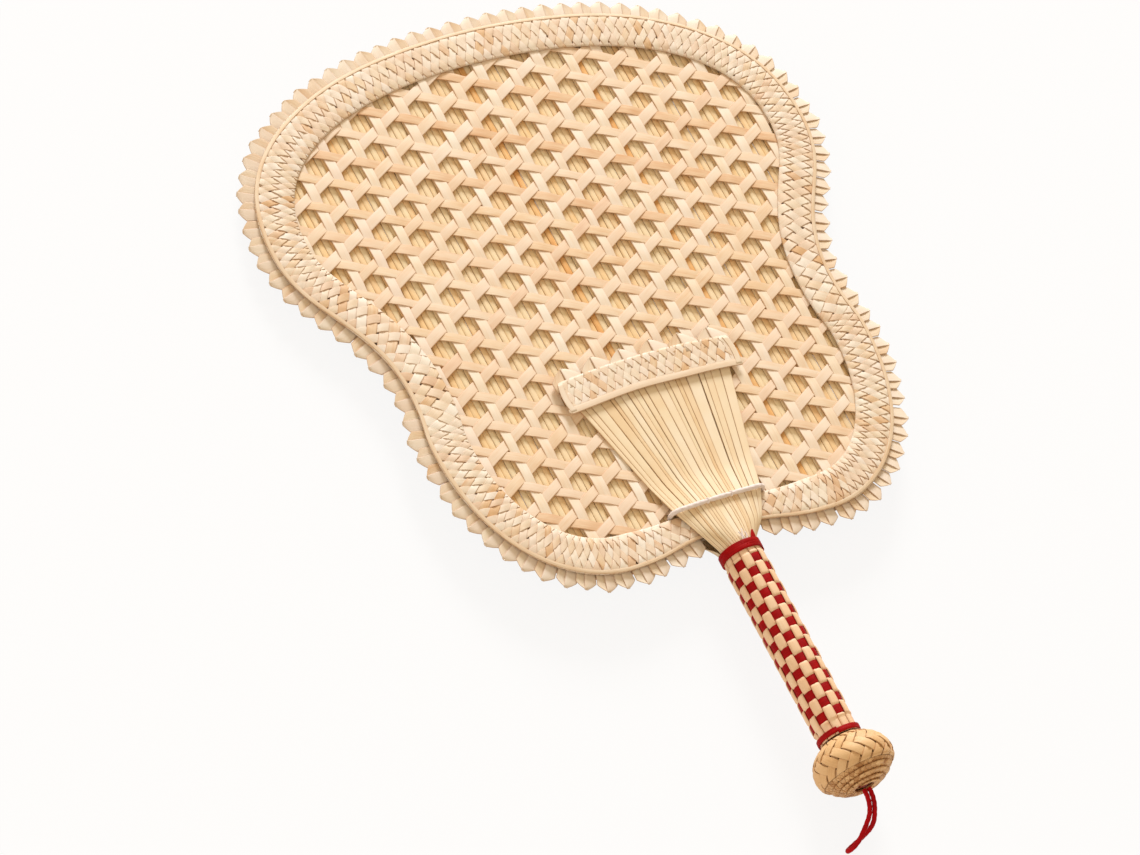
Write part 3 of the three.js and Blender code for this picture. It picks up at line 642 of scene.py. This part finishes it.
def border_inset(distance):
    """The border is drawn in a little where the ribs cross it."""
    from_neck = np.minimum(distance, OUTLINE_LENGTH - distance)
    return PICOT_LENGTH + BRAID_WIDTH - NECK_NARROWING * np.exp(-((from_neck / NECK_REACH) ** 2))


def edge_height(x, inset_at):
    """Height of an inset edge beside the neck, at a given distance from the middle."""
    distance = np.arange(0, FOOT_X, 0.25)
    xs, ys = edge(distance, inset_at(distance))
    return float(np.interp(x, xs, ys))


TIE_X = RIB_TIE_HALF_WIDTH + CLEARANCE + TIE_RADIUS
TIE_Y = edge_height(TIE_X, border_inset) + TIE_RADIUS + 2 * CLEARANCE


# Leaf: woven faces and the straws between them


def spans(polygon, direction, normal, offset):
    """Stretches of a straight line inside a polygon, as pairs of distances along the line."""
    across = polygon @ normal - offset
    along = polygon @ direction
    next_across = np.roll(across, -1)
    next_along = np.roll(along, -1)
    cut = (across > 0) != (next_across > 0)
    share = across[cut] / (across[cut] - next_across[cut])
    return np.sort(mix(along[cut], next_along[cut], share)).reshape(-1, 2)


def sheet_polygon(inset):
    return np.stack(edge(np.linspace(0, OUTLINE_LENGTH, 300, endpoint=False), inset), axis=-1)


def on_lines(direction, normal, side):
    """Place on one face of the leaf, from distances along a line, across it and off the leaf's middle."""

    def place(run, across, height):
        x = run * direction[0] + across * normal[0]
        y = run * direction[1] + across * normal[1]
        return np.stack((x, y, side * height), axis=-1)

    return place


def wander(along, amount, length):
    """Slow sideways drift along a strip."""
    return amount * np.sin(along / length + 2 * np.pi * rng.random())


def make_weave(side, name, node):
    """Strips upright and slanted both ways, each over one of the other two kinds and under the other."""
    strands = Strands()
    polygon = sheet_polygon(SHEET_INSET)
    slant = math.atan2(GAP_ROW_STEP / 2, GAP_COLUMN_STEP)
    angles = np.array((math.pi / 2, -slant, slant))
    pitches = np.array((GAP_COLUMN_STEP, GAP_ROW_STEP * math.cos(slant), GAP_ROW_STEP * math.cos(slant)))
    tints = (0.74, 0.42, 0.54)
    blushes = (0.25, 0.35, 0.8)
    directions = np.stack((np.cos(angles), np.sin(angles)), axis=-1)
    normals = np.stack((-np.sin(angles), np.cos(angles)), axis=-1)
    starts = normals @ np.array(GAP_CENTRE) + pitches / 2
    for kind, (direction, normal, pitch) in enumerate(zip(directions, normals, pitches)):
        upper = (kind + 1) % 3
        towards_upper = normals[upper] @ direction
        period = pitches[upper] / abs(towards_upper)
        place = on_lines(direction, normal, side)
        reach = np.sort(polygon @ normal)
        first = math.ceil((reach[0] - starts[kind]) / pitch)
        last = math.floor((reach[-1] - starts[kind]) / pitch)
        for number in range(first, last + 1):
            offset = starts[kind] + number * pitch
            crossing = (starts[upper] - normals[upper] @ normal * offset) / towards_upper
            for start, end in spans(polygon, direction, normal, offset):
                if end - start < STRIP_WIDTHS[kind]:
                    continue
                along = np.linspace(start, end, max(4, round((end - start) / STRIP_STEP)))
                height = WEAVE_MIDDLE - STRIP_SWING * np.cos(2 * np.pi * (along - crossing) / period)
                drift = offset + rng.normal(0, STRIP_DRIFT) + wander(along, STRIP_DRIFT, 31)
                width = STRIP_WIDTHS[kind] * (1 + rng.normal(0, 0.06) + wander(along, 0.04, 17))
                tint = rng.normal(tints[kind], 0.12)
                blush = np.clip(rng.normal(blushes[kind], 0.25), 0, 1)
                strands.strip(place, along, drift, width, height, STRIP_THICKNESS, tint, blush)
    strands.finish(name, LEAF_STRAW, "leaf_straw", node)


def make_lining():
    """Narrow round straws side by side, along the handle's direction."""
    strands = Strands()
    polygon = sheet_polygon(LINING_INSET)
    direction = np.array((0, 1))
    normal = np.array((1, 0))
    place = on_lines(direction, normal, 1)
    for offset in np.arange(-SHOULDER_HALF_WIDTH, SHOULDER_HALF_WIDTH, LINING_PITCH):
        for start, end in spans(polygon, direction, normal, offset):
            if end - start < 2 * LINING_PITCH:
                continue
            along = np.linspace(start, end, 24)
            drift = offset + wander(along, 0.08, 23)
            width = LINING_PITCH * rng.uniform(1.02, 1.08)
            height = LINING_MIDDLE + rng.uniform(-0.1, 0.1)
            tint = rng.normal(0.84, 0.15)
            if rng.random() < 0.15:
                tint -= 0.25
            strands.strip(place, along, drift, width, height, LINING_THICKNESS, tint, section=ROUND)
    strands.finish("lining_straws", LINING_STRAW, "golden_straw", "leaf_lining")


# Plaits


@dataclass
class Plait:
    """Flat plait: strands cross its band both ways, and rising_over says where the rising ones lie on top."""

    pitch: float
    width: float
    slant: float
    rising_over: Callable
    thickness: float
    swing: float
    middle: float = 0
    tint: float = 0.55
    variety: float = 0.25
    ring: bool = False

    def weave(self, strands, place, start, end):
        """Strands between two distances along the band; place takes distances across, along and above it."""
        count = round((end - start) / self.pitch)
        for rising in (1, -1):
            for number in range(count if self.ring else count + 1):
                self.strand(strands, place, start, end, rising, number)

    def strand(self, strands, place, start, end, rising, number):
        half = self.width / 2
        lean = rising * self.slant
        home = start + (number + (0 if rising > 0 else 0.5)) * self.pitch
        low, high = -half, half
        if not self.ring:
            margin = self.pitch / 3
            cut = sorted(((start + margin - home) / lean, (end - margin - home) / lean))
            low = max(low, cut[0])
            high = min(high, cut[1])
            home += rng.normal(0, 0.05 * self.pitch)
        if high - low < PLAIT_SHORTEST:
            return
        across = np.linspace(low, high, max(3, round((high - low) / PLAIT_STEP) + 1))
        width = self.pitch * (rng.uniform(0.84, 1.0) + wander(across, 0.05, 6))
        run = (home + lean * across)[:, None] + SIDE * width[:, None] / 2
        cell = (run - start + lean * across[:, None]) / self.pitch + (0 if rising > 0 else 0.5)
        gate = np.round(cell)
        before, after = (self.side_up(rising, number, other, half) for other in (gate - 1, gate))
        wave = mix(before, after, smoothstep(cell - gate, -PLAIT_CROSSING, PLAIT_CROSSING))
        roll = min(PLAIT_ROLL, half / 3)
        past = np.clip((np.abs(across) - (half - roll)) / roll, 0, 1)
        lift = self.middle + rng.normal(0, 0.1) * self.swing
        height = lift + self.swing * wave * np.sqrt(1 - 0.9 * past**2)[:, None]
        tint = rng.normal(self.tint, self.variety)
        strands.strip(place, across, home + lean * across, width, height, self.thickness, tint)

    def side_up(self, rising, number, other, half):
        """Whether a strand lies over (1) or under (-1) a strand of the other kind."""
        steps = (other - number if rising > 0 else number - other) + 0.5
        share = steps * self.pitch / (2 * self.slant) / half
        return np.where(self.rising_over(share) == (rising > 0), 1.0, -1.0)


def chevron(share):
    return share < 0


def plain(rows):
    """Over and under by turns, in rows along the plait."""
    return lambda share: np.floor(0.5 * rows * share) % 2 == 0


def turned(place):
    """The same place with its first two distances changed over, for strips that run the other way."""
    return lambda first, second, height: place(second, first, height)


def picot(strands, place, centre, length, pitch, level, tint):
    """Strip folded into a blunt point: two tilted facets, the second over the first along a crease."""
    tip = length + rng.normal(0, 0.25)
    valley = tip - PICOT_POINT * pitch
    crease = centre + rng.normal(0, 0.3)
    out = np.concatenate((np.linspace(-PICOT_BASE, valley, 3)[:-1], np.linspace(valley, tip, 7)))
    past = np.clip((out - valley) / (tip - valley), 0, 1)
    half = 0.5 * pitch * (0.75 * (1 - past) + 0.3 * np.sqrt(1 - past**2)) + 0.03
    height = level - PICOT_TILT * SIDE * np.ones((len(out), 1))
    # The first facet is tinted darker and the second lighter: painted shade and light on the two sides of the
    # fold.
    facets = [(-1, tint - 0.12, rng.uniform(0, 0.5)), (1, tint + 0.2, rng.uniform(0.4, 1))]
    for side, shade, blush in facets:
        middle = crease + side * (half - PICOT_LAP) / 2
        shade = rng.normal(shade, 0.1)
        strands.strip(turned(place), out, middle, half + PICOT_LAP, height, PLAIT_THICKNESS, shade, blush)


def make_border(side, name, node):
    """Plait round the leaf, with rolled edges and a strip folded over the outer one."""
    strands = Strands()

    def place(across, run, height):
        inset = mix(PICOT_LENGTH, border_inset(np.mod(run, OUTLINE_LENGTH)), across / BRAID_WIDTH + 0.5)
        x, y = edge(run, inset)
        rolled = BRAID_ROLL * smoothstep(np.abs(across), BRAID_WIDTH / 2 - BRAID_ROLL_WIDTH, BRAID_WIDTH / 2)
        return np.stack((x, y, side * (height - rolled)), axis=-1)

    band = Plait(
        pitch=BRAID_PITCH,
        width=BRAID_WIDTH,
        slant=BRAID_ROWS * BRAID_PITCH / (2 * BRAID_WIDTH),
        rising_over=plain(BRAID_ROWS),
        thickness=PLAIT_THICKNESS,
        swing=BRAID_SWING,
        middle=BRAID_MIDDLE,
        tint=0.52,
    )
    band.weave(strands, place, PLAIT_END, OUTLINE_LENGTH - PLAIT_END)
    along = np.linspace(2 * PLAIT_END, OUTLINE_LENGTH - 2 * PLAIT_END, 400)
    fold = BRAID_FOLD_INSET - BRAID_WIDTH / 2 + wander(along, 0.15, 11)
    level = BRAID_MIDDLE + FOLD_THICKNESS / 2
    strands.strip(turned(place), along, fold, BRAID_FOLD_WIDTH, level, FOLD_THICKNESS, tint=0.3, blush=0.2)
    strands.finish(name, PLAIT_STRAW, "leaf_straw", node)


def make_picots():
    strands = Strands()

    def place(run, out, height):
        x, y = edge(run, PICOT_LENGTH - out)
        return np.stack((x, y, height), axis=-1)

    teeth = round((OUTLINE_LENGTH - 2 * PICOT_END) / PICOT_PITCH)
    pitch = (OUTLINE_LENGTH - 2 * PICOT_END) / teeth
    for tooth in range(teeth):
        centre = PICOT_END + (tooth + 0.5) * pitch
        picot(strands, place, centre, PICOT_LENGTH - 0.1, pitch, PICOT_LEVEL, tint=0.52)
    strands.finish("picot_folds", PLAIT_STRAW, "leaf_straw", "picot_edging")


def make_cap(side, name, node):
    """Short arched plait with a hem along its lower edge and a row of points along its upper edge."""
    strands = Strands()

    def place(across, run, height):
        bottom = CAP_Y + CAP_ARCH * (1 - (run / CAP_HALF_LENGTH) ** 2)
        return np.stack((run, bottom + across, side * height), axis=-1)

    def on_plait(across, run, height):
        return place(across + (CAP_WIDTH + CAP_HEM - CAP_LAP) / 2, run, height)

    def above(run, out, height):
        return place(CAP_WIDTH + out, run, height)

    width = CAP_WIDTH - CAP_HEM + CAP_LAP
    band = Plait(
        pitch=CAP_PITCH,
        width=width,
        slant=CAP_ROWS * CAP_PITCH / (2 * width),
        rising_over=plain(CAP_ROWS),
        thickness=PLAIT_THICKNESS,
        swing=CAP_SWING,
        middle=CAP_MIDDLE,
    )
    band.weave(strands, on_plait, PLAIT_END - CAP_HALF_LENGTH, CAP_HALF_LENGTH - PLAIT_END)
    along = np.linspace(-CAP_HALF_LENGTH, CAP_HALF_LENGTH, 60)
    rounded = np.sqrt(1 - 0.8 * np.clip((np.abs(along) - CAP_HALF_LENGTH + 2) / 2, 0, 1) ** 2)
    hem = CAP_HEM / 2 + wander(along, 0.2, 7)
    level = CAP_MIDDLE + 0.25
    strands.strip(turned(place), along, hem, CAP_HEM * rounded, level, FOLD_THICKNESS, tint=0.42, blush=0.5)
    across = np.linspace(CAP_LAP, CAP_WIDTH - CAP_LAP, 14)
    bow = 0.02 * (across - CAP_WIDTH / 2) ** 2
    for end in (-1, 1):
        for fold in (0, 1):
            run = end * (CAP_HALF_LENGTH - CAP_END_WIDTH / 2 - CAP_END_STEP * fold - bow)
            level = CAP_MIDDLE + PLAIT_THICKNESS - CAP_SWING * fold
            strands.strip(place, across, run, CAP_END_WIDTH, level, CAP_END_THICKNESS, rng.normal(0.55, 0.1))
    pitch = 2 * CAP_HALF_LENGTH / CAP_PICOTS
    for tooth in range(CAP_PICOTS):
        centre = -CAP_HALF_LENGTH + (tooth + 0.5) * pitch
        picot(strands, above, centre, CAP_PICOT_LENGTH, pitch, CAP_MIDDLE - 0.25, tint=0.55)
    strands.finish(name, PLAIT_STRAW, "leaf_straw", node)


# Ribs and tie


def rib_stations():
    """Shape of the ribs at close steps of height, with the corners between stations rounded off."""
    neck_y = edge_height(RIB_NECK_HALF_WIDTH, lambda distance: PICOT_LENGTH) - CLEARANCE
    drop_y = TIE_Y + RIB_DROP
    drop_half_width = mix(RIB_TIE_HALF_WIDTH, RIB_TOP_HALF_WIDTH, RIB_DROP / (RIB_TOP_Y - TIE_Y))
    over_border = BRAID_TOP + CLEARANCE
    ring = (RIB_RING_RADIUS, 0, RIB_RING_RADIUS, 0)
    stations = np.array(
        [
            (-RIB_TUCK, *ring),
            (CLEARANCE, *ring),
            (neck_y, RIB_NECK_HALF_WIDTH, over_border, RIB_NECK_ARCH, 0.5),
            (TIE_Y, RIB_TIE_HALF_WIDTH, over_border, RIB_TIE_ARCH, 1),
            (drop_y, drop_half_width, RIB_SEAT, 0, 1),
            (RIB_TOP_Y, RIB_TOP_HALF_WIDTH, RIB_SEAT, 0, 1),
        ]
    )
    heights = np.linspace(-RIB_TUCK, RIB_TOP_Y, 120)
    shape = np.stack([np.interp(heights, stations[:, 0], column) for column in stations.T[1:]], axis=-1)
    reach = 3
    padded = np.concatenate([shape[:1]] * reach + [shape] + [shape[-1:]] * reach)
    rounded = np.mean([padded[shift : shift + len(shape)] for shift in range(2 * reach + 1)], axis=0)
    return heights, rounded


RIB_HEIGHTS, RIB_SHAPE = rib_stations()


def rib_surface(side):
    """Place on the ribs of one face, from a height, a share of the way across and a lift off the seat."""

    def place(y, share, lift):
        half, seat, arch, flat = (np.interp(y, RIB_HEIGHTS, column) for column in RIB_SHAPE.T)
        angle = np.pi * (1 - share)
        across = 2 * share - 1
        swell = lift * (1 - flat)
        x = (half + swell) * mix(np.cos(angle), across, flat)
        rise = (arch + swell) * mix(np.sin(angle), 1 - across**2, flat)
        return np.stack((x, y, side * (seat + rise + lift * flat)), axis=-1)

    return place


def make_ribs(side, face):
    """Split straws of uneven width; some are split once more."""
    along = np.concatenate((np.linspace(-RIB_TUCK, TIE_Y, 22)[:-1], np.linspace(TIE_Y, RIB_TOP_Y, 26)))
    place = rib_surface(side)
    bounds = np.arange(RIB_COUNT + 1) / RIB_COUNT
    bounds[1:-1] += rng.uniform(-0.18, 0.18, RIB_COUNT - 1) / RIB_COUNT
    for number, (left, right) in enumerate(zip(bounds, bounds[1:])):
        strands = Strands()
        cuts = [0, 1] if rng.random() < 0.5 else [0, rng.uniform(0.35, 0.65), 1]
        for low, high in zip(cuts, cuts[1:]):
            width = (right - left) * (high - low)
            sway = mix(left, right, (low + high) / 2) + wander(along, 0.03 * width, 19)
            lift = RIB_THICKNESS / 2 + rng.uniform(-0.12, 0.12)
            fill = rng.uniform(0.93, 0.99)
            tint = rng.normal(0.6, 0.15)
            strands.strip(place, along, sway, fill * width, lift, 0.6 * RIB_THICKNESS, tint)
        node = f"{face}_rib_{number + 1:02d}"
        strands.finish(f"{node}_straw", RIB_STRAW, "golden_straw", node)


def catmull_rom(points, per_span, closed=False):
    """Smooth path through points, with knots spaced by the square root of their distance."""
    points = np.asarray(points, float)
    if closed:
        points = np.concatenate((points[-1:], points, points[:2]))
    else:
        points = np.concatenate((2 * points[:1] - points[1:2], points, 2 * points[-1:] - points[-2:-1]))
    path = []
    for a, b, c, d in zip(points, points[1:], points[2:], points[3:]):
        gaps = [np.linalg.norm(second - first) ** 0.5 for first, second in ((a, b), (b, c), (c, d))]
        k0, k1, k2, k3 = np.concatenate(([0], np.cumsum(gaps)))
        for t in np.linspace(k1, k2, per_span, endpoint=False):
            ab = mix(a, b, (t - k0) / (k1 - k0))
            bc = mix(b, c, (t - k1) / (k2 - k1))
            cd = mix(c, d, (t - k2) / (k3 - k2))
            abc = mix(ab, bc, (t - k0) / (k2 - k0))
            bcd = mix(bc, cd, (t - k1) / (k3 - k1))
            path.append(mix(abc, bcd, (t - k1) / (k2 - k1)))
    if not closed:
        path.append(points[-2])
    return np.array(path)


def make_tie():
    """Thread round the ribs and through the leaf, with two stitches over it and its ends at the collar."""
    strands = Strands()
    surface = rib_surface(1)
    away = TIE_RADIUS + CLEARANCE
    seat = BRAID_TOP + CLEARANCE
    stitches = (0.36, 0.63)

    def over_ribs(share):
        return surface(np.array(TIE_Y), np.array(share), np.array(RIB_THICKNESS)) + (0, 0, away)

    front_points = [(TIE_X, TIE_Y, 0), (TIE_X, TIE_Y, seat)]
    front_points += [over_ribs(share) for share in (0.97, 0.85, 0.68, 0.5, 0.32, 0.15, 0.03)]
    front_points += [(-TIE_X, TIE_Y, seat), (-TIE_X, TIE_Y, 0)]
    back_points = [(x, y, -z) for x, y, z in front_points[-2:0:-1]]
    route = catmull_rom(front_points + back_points, 14, closed=True)
    pinch = sum(np.exp(-(((route[:, 0] - over_ribs(share)[0]) / STITCH_REACH) ** 2)) for share in stitches)
    strands.tube(route, TIE_RADIUS * (1.3 - 0.4 * pinch), lobes=3, depth=0.14, twist=9, ring=True)
    for share in stitches:
        turn = np.linspace(0, 2 * np.pi, 24, endpoint=False)
        circle = np.stack((0.35 * np.sin(turn), np.cos(turn), np.sin(turn)), axis=-1)
        path = over_ribs(share) + STITCH_RADIUS * circle
        strands.tube(path, THREAD_RADIUS, lobes=2, depth=0.1, twist=3, ring=True)
    for share, tip, sway in ((0.47, 3.6, 0.012), (0.51, 4.6, -0.01), (0.54, 3.0, 0.02)):
        y = np.linspace(-1.5, tip, 14)
        lift = RIB_THICKNESS + 0.35 + 0.1 * np.clip(y, 0, None)
        path = surface(y, share + sway * np.sin(y), lift)
        strands.tube(path, THREAD_RADIUS, lobes=2, depth=0.15, twist=2.5)
    strands.finish("tie_cord", WHITE_THREAD, "white_thread", "tie_thread")


# Handle


def on_handle(y, radius, angle):
    return np.stack((radius * np.cos(angle), y, radius * np.sin(angle)), axis=-1)


def warp_place(angle):
    """Place on a lengthwise straw, from a height, a distance to its side and a radius."""

    def place(y, across, radius):
        return on_handle(y, radius, angle + across / radius)

    return place


def make_warps():
    """Lengthwise straws that bulge over every second turn of the weft and dip under the others."""
    y = np.linspace(-RIB_TUCK - CLEARANCE, END_RING_TOP_Y - END_RING_HEIGHT, 260)
    below_collar = smoothstep(-y, COLLAR_HEIGHT, COLLAR_HEIGHT + WARP_SETTLING)
    above_ring = smoothstep(y, END_RING_TOP_Y, END_RING_TOP_Y + WARP_SETTLING)
    loose = -0.75
    firm = -0.45
    for number in range(WARP_COUNT):
        strands = Strands()
        turns = (WEFT_TOP_Y - y) / WEFT_PITCH - number / WARP_COUNT
        wave = np.cos(np.pi * turns) * (-1) ** number
        held = smoothstep(turns, loose, firm) * smoothstep(WEFT_TURNS - 1 - turns, loose, firm)
        bulge = (np.tanh(3 * (wave + 0.42)) + 0.15 * wave) * held * below_collar * above_ring
        radius = HANDLE_MIDDLE + WARP_SWING * bulge
        width = WARP_WIDTH * (0.93 + 0.06 * bulge)
        place = warp_place(2 * np.pi * number / WARP_COUNT)
        tint = rng.normal(0.62, 0.1)
        strands.strip(place, y, rng.normal(0, 0.05), width, radius, WARP_THICKNESS, tint, section=PILLOW)
        node = f"handle_straw_{number + 1:02d}"
        strands.finish(f"{node}_bulged", WARP_STRAW, "golden_straw", node)


def make_weft():
    """One strip wound down the handle, in and out between the straws."""
    strands = Strands()
    step_length = 2 * np.pi * HANDLE_MIDDLE / WARP_COUNT
    steps = np.linspace(-0.5, WEFT_TURNS * WARP_COUNT - 0.5, WEFT_TURNS * WARP_COUNT * 6)
    radius = HANDLE_MIDDLE - WEFT_SWING * np.cos(np.pi * steps)

    def place(run, across, out):
        turns = run / step_length / WARP_COUNT
        return on_handle(WEFT_TOP_Y - WEFT_PITCH * turns + across, out, 2 * np.pi * turns)

    strands.strip(place, steps * step_length, 0, WEFT_WIDTH, radius, WEFT_THICKNESS, tint=0.5)
    strands.finish("red_weft_strip", RED_STRIP, "red_strip", "red_weft")


def winding(strands, top, bottom, radius, turns, width, thickness, first_angle):
    """Strip wound in close turns round the handle."""
    angle = np.linspace(0, 2 * np.pi * turns, round(48 * turns))

    def place(run, across, out):
        turn = run / radius
        return on_handle(mix(top, bottom, turn / angle[-1]) + across, out, first_angle + turn)

    strands.strip(place, angle * radius, 0, width, radius + 0.05 * np.sin(3.1 * angle), thickness, tint=0.5)


def make_collar():
    """Red strip wound in close turns, its end turned up over the ribs."""
    strands = Strands()
    winding(
        strands,
        top=-0.85,
        bottom=0.6 - COLLAR_HEIGHT,
        radius=COLLAR_RADIUS,
        turns=COLLAR_TURNS,
        width=COLLAR_STRIP_WIDTH,
        thickness=COLLAR_THICKNESS,
        first_angle=0.4,
    )
    y = np.linspace(COLLAR_END_BOTTOM, COLLAR_END_TOP, 12)
    width = np.interp(y, (COLLAR_END_BOTTOM, COLLAR_END_BEND, COLLAR_END_TOP), (0.12, 0.1, 0.02))
    lift = RIB_THICKNESS + 0.45
    strands.strip(rib_surface(1), y, 0.68, width, lift, COLLAR_END_THICKNESS, tint=0.5)
    strands.finish("collar_binding", RED_STRIP, "red_strip", "red_collar")


def make_end_ring():
    strands = Strands()
    winding(
        strands,
        top=END_RING_TOP_Y - END_RING_MARGIN,
        bottom=END_RING_TOP_Y - END_RING_HEIGHT + END_RING_MARGIN,
        radius=END_RING_RADIUS,
        turns=END_RING_TURNS,
        width=END_RING_STRIP_WIDTH,
        thickness=END_RING_THICKNESS,
        first_angle=2.0,
    )
    strands.finish("end_ring_binding", RED_STRIP, "red_strip", "red_end_ring")


# Pommel


class Profile:
    """Part of the pommel's oval profile, a given way inside its surface, between two angles."""

    def __init__(self, inset, start, end):
        angle = np.linspace(start, end, 400)
        radius = (POMMEL_RADIUS - inset) * np.cos(angle)
        height = POMMEL_Y + (POMMEL_HALF_HEIGHT - inset) * np.sin(angle)
        self.points = np.stack((radius, height), axis=-1)
        self.run = lengths_along(self.points)
        self.length = self.run[-1]
        self.slope = np.gradient(self.points, self.run, axis=0)

    def place(self, distance, lift, angle):
        """Point at a distance along the profile, lifted off its left side, turned about the handle's axis."""
        radius, y = (np.interp(distance, self.run, column) for column in self.points.T)
        slope_radius, slope_y = (np.interp(distance, self.run, column) for column in self.slope.T)
        return on_handle(y + slope_radius * lift, radius - slope_y * lift, angle)


def four_rows(share):
    """Chevrons in four rows of uneven height."""
    return ((share > -0.62) & (share < 0)) | (share > 0.7)


def make_pommel_band():
    """Broad plait in four rows, from under the pommel's widest part up to its mouth."""
    strands = Strands()
    inset = POMMEL_BAND_THICKNESS / 2
    low = -math.asin(POMMEL_BAND_DROP / (POMMEL_HALF_HEIGHT - inset))
    high = math.acos(POMMEL_MOUTH_RADIUS / (POMMEL_RADIUS - inset))
    profile = Profile(inset, low, high)
    girth = 2 * np.pi * POMMEL_RADIUS

    def place(across, run, lift):
        return profile.place(across + profile.length / 2, -lift, run / POMMEL_RADIUS)

    band = Plait(
        pitch=girth / POMMEL_CHEVRONS,
        width=profile.length,
        slant=1.0,
        rising_over=four_rows,
        thickness=POMMEL_STRAND_THICKNESS,
        swing=POMMEL_SWING,
        tint=0.68,
        variety=0.14,
        ring=True,
    )
    band.weave(strands, place, 0, girth)
    strands.finish("pommel_plait", POMMEL_STRAW, "tan_straw", "pommel_band")


def make_pommel_coil():
    """Narrow plait wound in a spiral, each turn lapped a little under the one outside it."""
    strands = Strands()
    start = -math.asin(COIL_START_DROP / (POMMEL_HALF_HEIGHT - COIL_INSET))
    profile = Profile(COIL_INSET, start, -COIL_END_ANGLE)
    turns = profile.length / COIL_PITCH
    share = np.linspace(0, 1, 600)
    spiral = profile.place(share * profile.length, 0, 2 * np.pi * turns * share)
    run_at = lengths_along(spiral)

    def place(across, run, lift):
        way = np.interp(run, run_at, share)
        angle = 2 * np.pi * turns * way
        return profile.place(way * profile.length + across, lift - COIL_TILT * across, angle)

    # The coil's low tint is painted shade on the underside of the pommel.
    band = Plait(
        pitch=COIL_STRAND_PITCH,
        width=COIL_PITCH + COIL_LAP,
        slant=0.6,
        rising_over=chevron,
        thickness=COIL_STRAND_THICKNESS,
        swing=COIL_SWING,
        tint=0.36,
    )
    band.weave(strands, place, 0, run_at[-1])
    # The backing between the turns is darker still: painted shade in the laps.
    along = np.linspace(0, run_at[-1], 500)
    strands.strip(turned(place), along, 0, COIL_PITCH, -COIL_BACKING_DEPTH, COIL_BACKING_THICKNESS, tint=0.2)
    strands.finish("pommel_spiral", POMMEL_STRAW, "tan_straw", "pommel_coil")


# Cord loop


def loop_route():
    """Doubled cord: two strands side by side that part into an eye and meet at its tip."""
    middle = bezier(LOOP_EXIT + np.array(((0, 0, 0), LOOP_STRAIGHT, LOOP_DROOP, LOOP_TIP)), 400)
    length = lengths_along(middle)[-1]
    eye_end = 1 - LOOP_EYE_HALF_WIDTH / length
    stations = np.array(
        [0, 0.12, 0.24, 0.36, 0.48, 0.6, 0.72, eye_end, mix(eye_end, 1, 0.6), mix(eye_end, 1, 0.9)]
    )
    opening = smoothstep(stations, LOOP_EYE_START, eye_end)[:, None]
    half = mix(LOOP_ROOT_HALF_WIDTH, LOOP_EYE_HALF_WIDTH, opening)
    past = np.clip((stations - eye_end) / (1 - eye_end), 0, 1)[:, None]
    direction = mix(np.array((-1, 0, 0)), np.array(LOOP_EYE_DIRECTION), opening)
    direction /= np.linalg.norm(direction, axis=1)[:, None]
    side = direction * half * np.sqrt(1 - past**2)
    centre = at_length(middle, stations * length)
    return np.concatenate((centre + side, middle[-1:], (centre - side)[::-1]))


def make_loop():
    strands = Strands()
    path = catmull_rom(loop_route(), 10)
    strands.tube(path, LOOP_RADIUS, lobes=3, depth=0.12, twist=LOOP_TWIST)
    piece = strands.finish("loop_cord", RED_CORD, "red_cord", "hanging_loop", body="loop")


# Floor


def make_floor():
    """Pale floor that shows white to the camera and keeps a faint shadow."""
    shader = Shader("floor")
    shader.surface.inputs["Base Color"].default_value = srgb(250, 250, 250)
    shader.surface.inputs["Roughness"].default_value = 0.9
    glow = shader.add("Emission", {"Color": (1, 1, 1, 1), "Strength": 1.0}).outputs[0]
    rays = shader.add("LightPath").outputs
    seen = shader.math("MAXIMUM", rays["Is Camera Ray"], rays["Is Glossy Ray"])
    seen = shader.math("MAXIMUM", seen, rays["Is Transmission Ray"])
    shown_white = 0.88
    share = shader.math("MULTIPLY", seen, shown_white)
    blend = shader.add("MixShader", {0: share, 1: shader.surface.outputs[0], 2: glow})
    shader.tree.links.new(blend.outputs[0], shader.tree.nodes["Material Output"].inputs["Surface"])
    mesh = bpy.data.meshes.new("floor")
    reach = 6
    corners = [(-reach, -reach, 0), (reach, -reach, 0), (reach, reach, 0), (-reach, reach, 0)]
    mesh.from_pydata(corners, [], [(0, 1, 2, 3)])
    mesh.materials.append(shader.material)
    floor = new_object("floor", mesh)


# The whole scene

make_camera()
make_loop()
make_world(colour=(1, 0.77, 0.51), strength=0.57)
make_light("key", direction=(0.06, 1.0, -0.1), distance=6, size=1.8, energy=326)
make_light("fill", direction=(-0.6, -0.2, 0.9), distance=2.2, size=1.6, energy=8)
make_floor()

make_weave(1, "front_weave_strips", "front_weave")
make_weave(-1, "back_weave_strips", "back_weave")
make_lining()
make_border(1, "front_border_plait", "front_border_braid")
make_border(-1, "back_border_plait", "back_border_braid")
make_picots()
make_ribs(1, "front")
make_ribs(-1, "back")
make_cap(1, "front_cap_plait", "front_cap_braid")
make_cap(-1, "back_cap_plait", "back_cap_braid")
make_tie()
make_warps()
make_weft()
make_collar()
make_end_ring()
make_pommel_band()
make_pommel_coil()

for node, material in (("handle_core", CORE_STRAW), ("pommel_core", CORE_STRAW), ("loop_knot", KNOT_CORD)):
    materials = frame["nodes"][node].data.materials
    materials.clear()
    materials.append(material)

bpy.context.scene.view_settings.view_transform = "Standard"
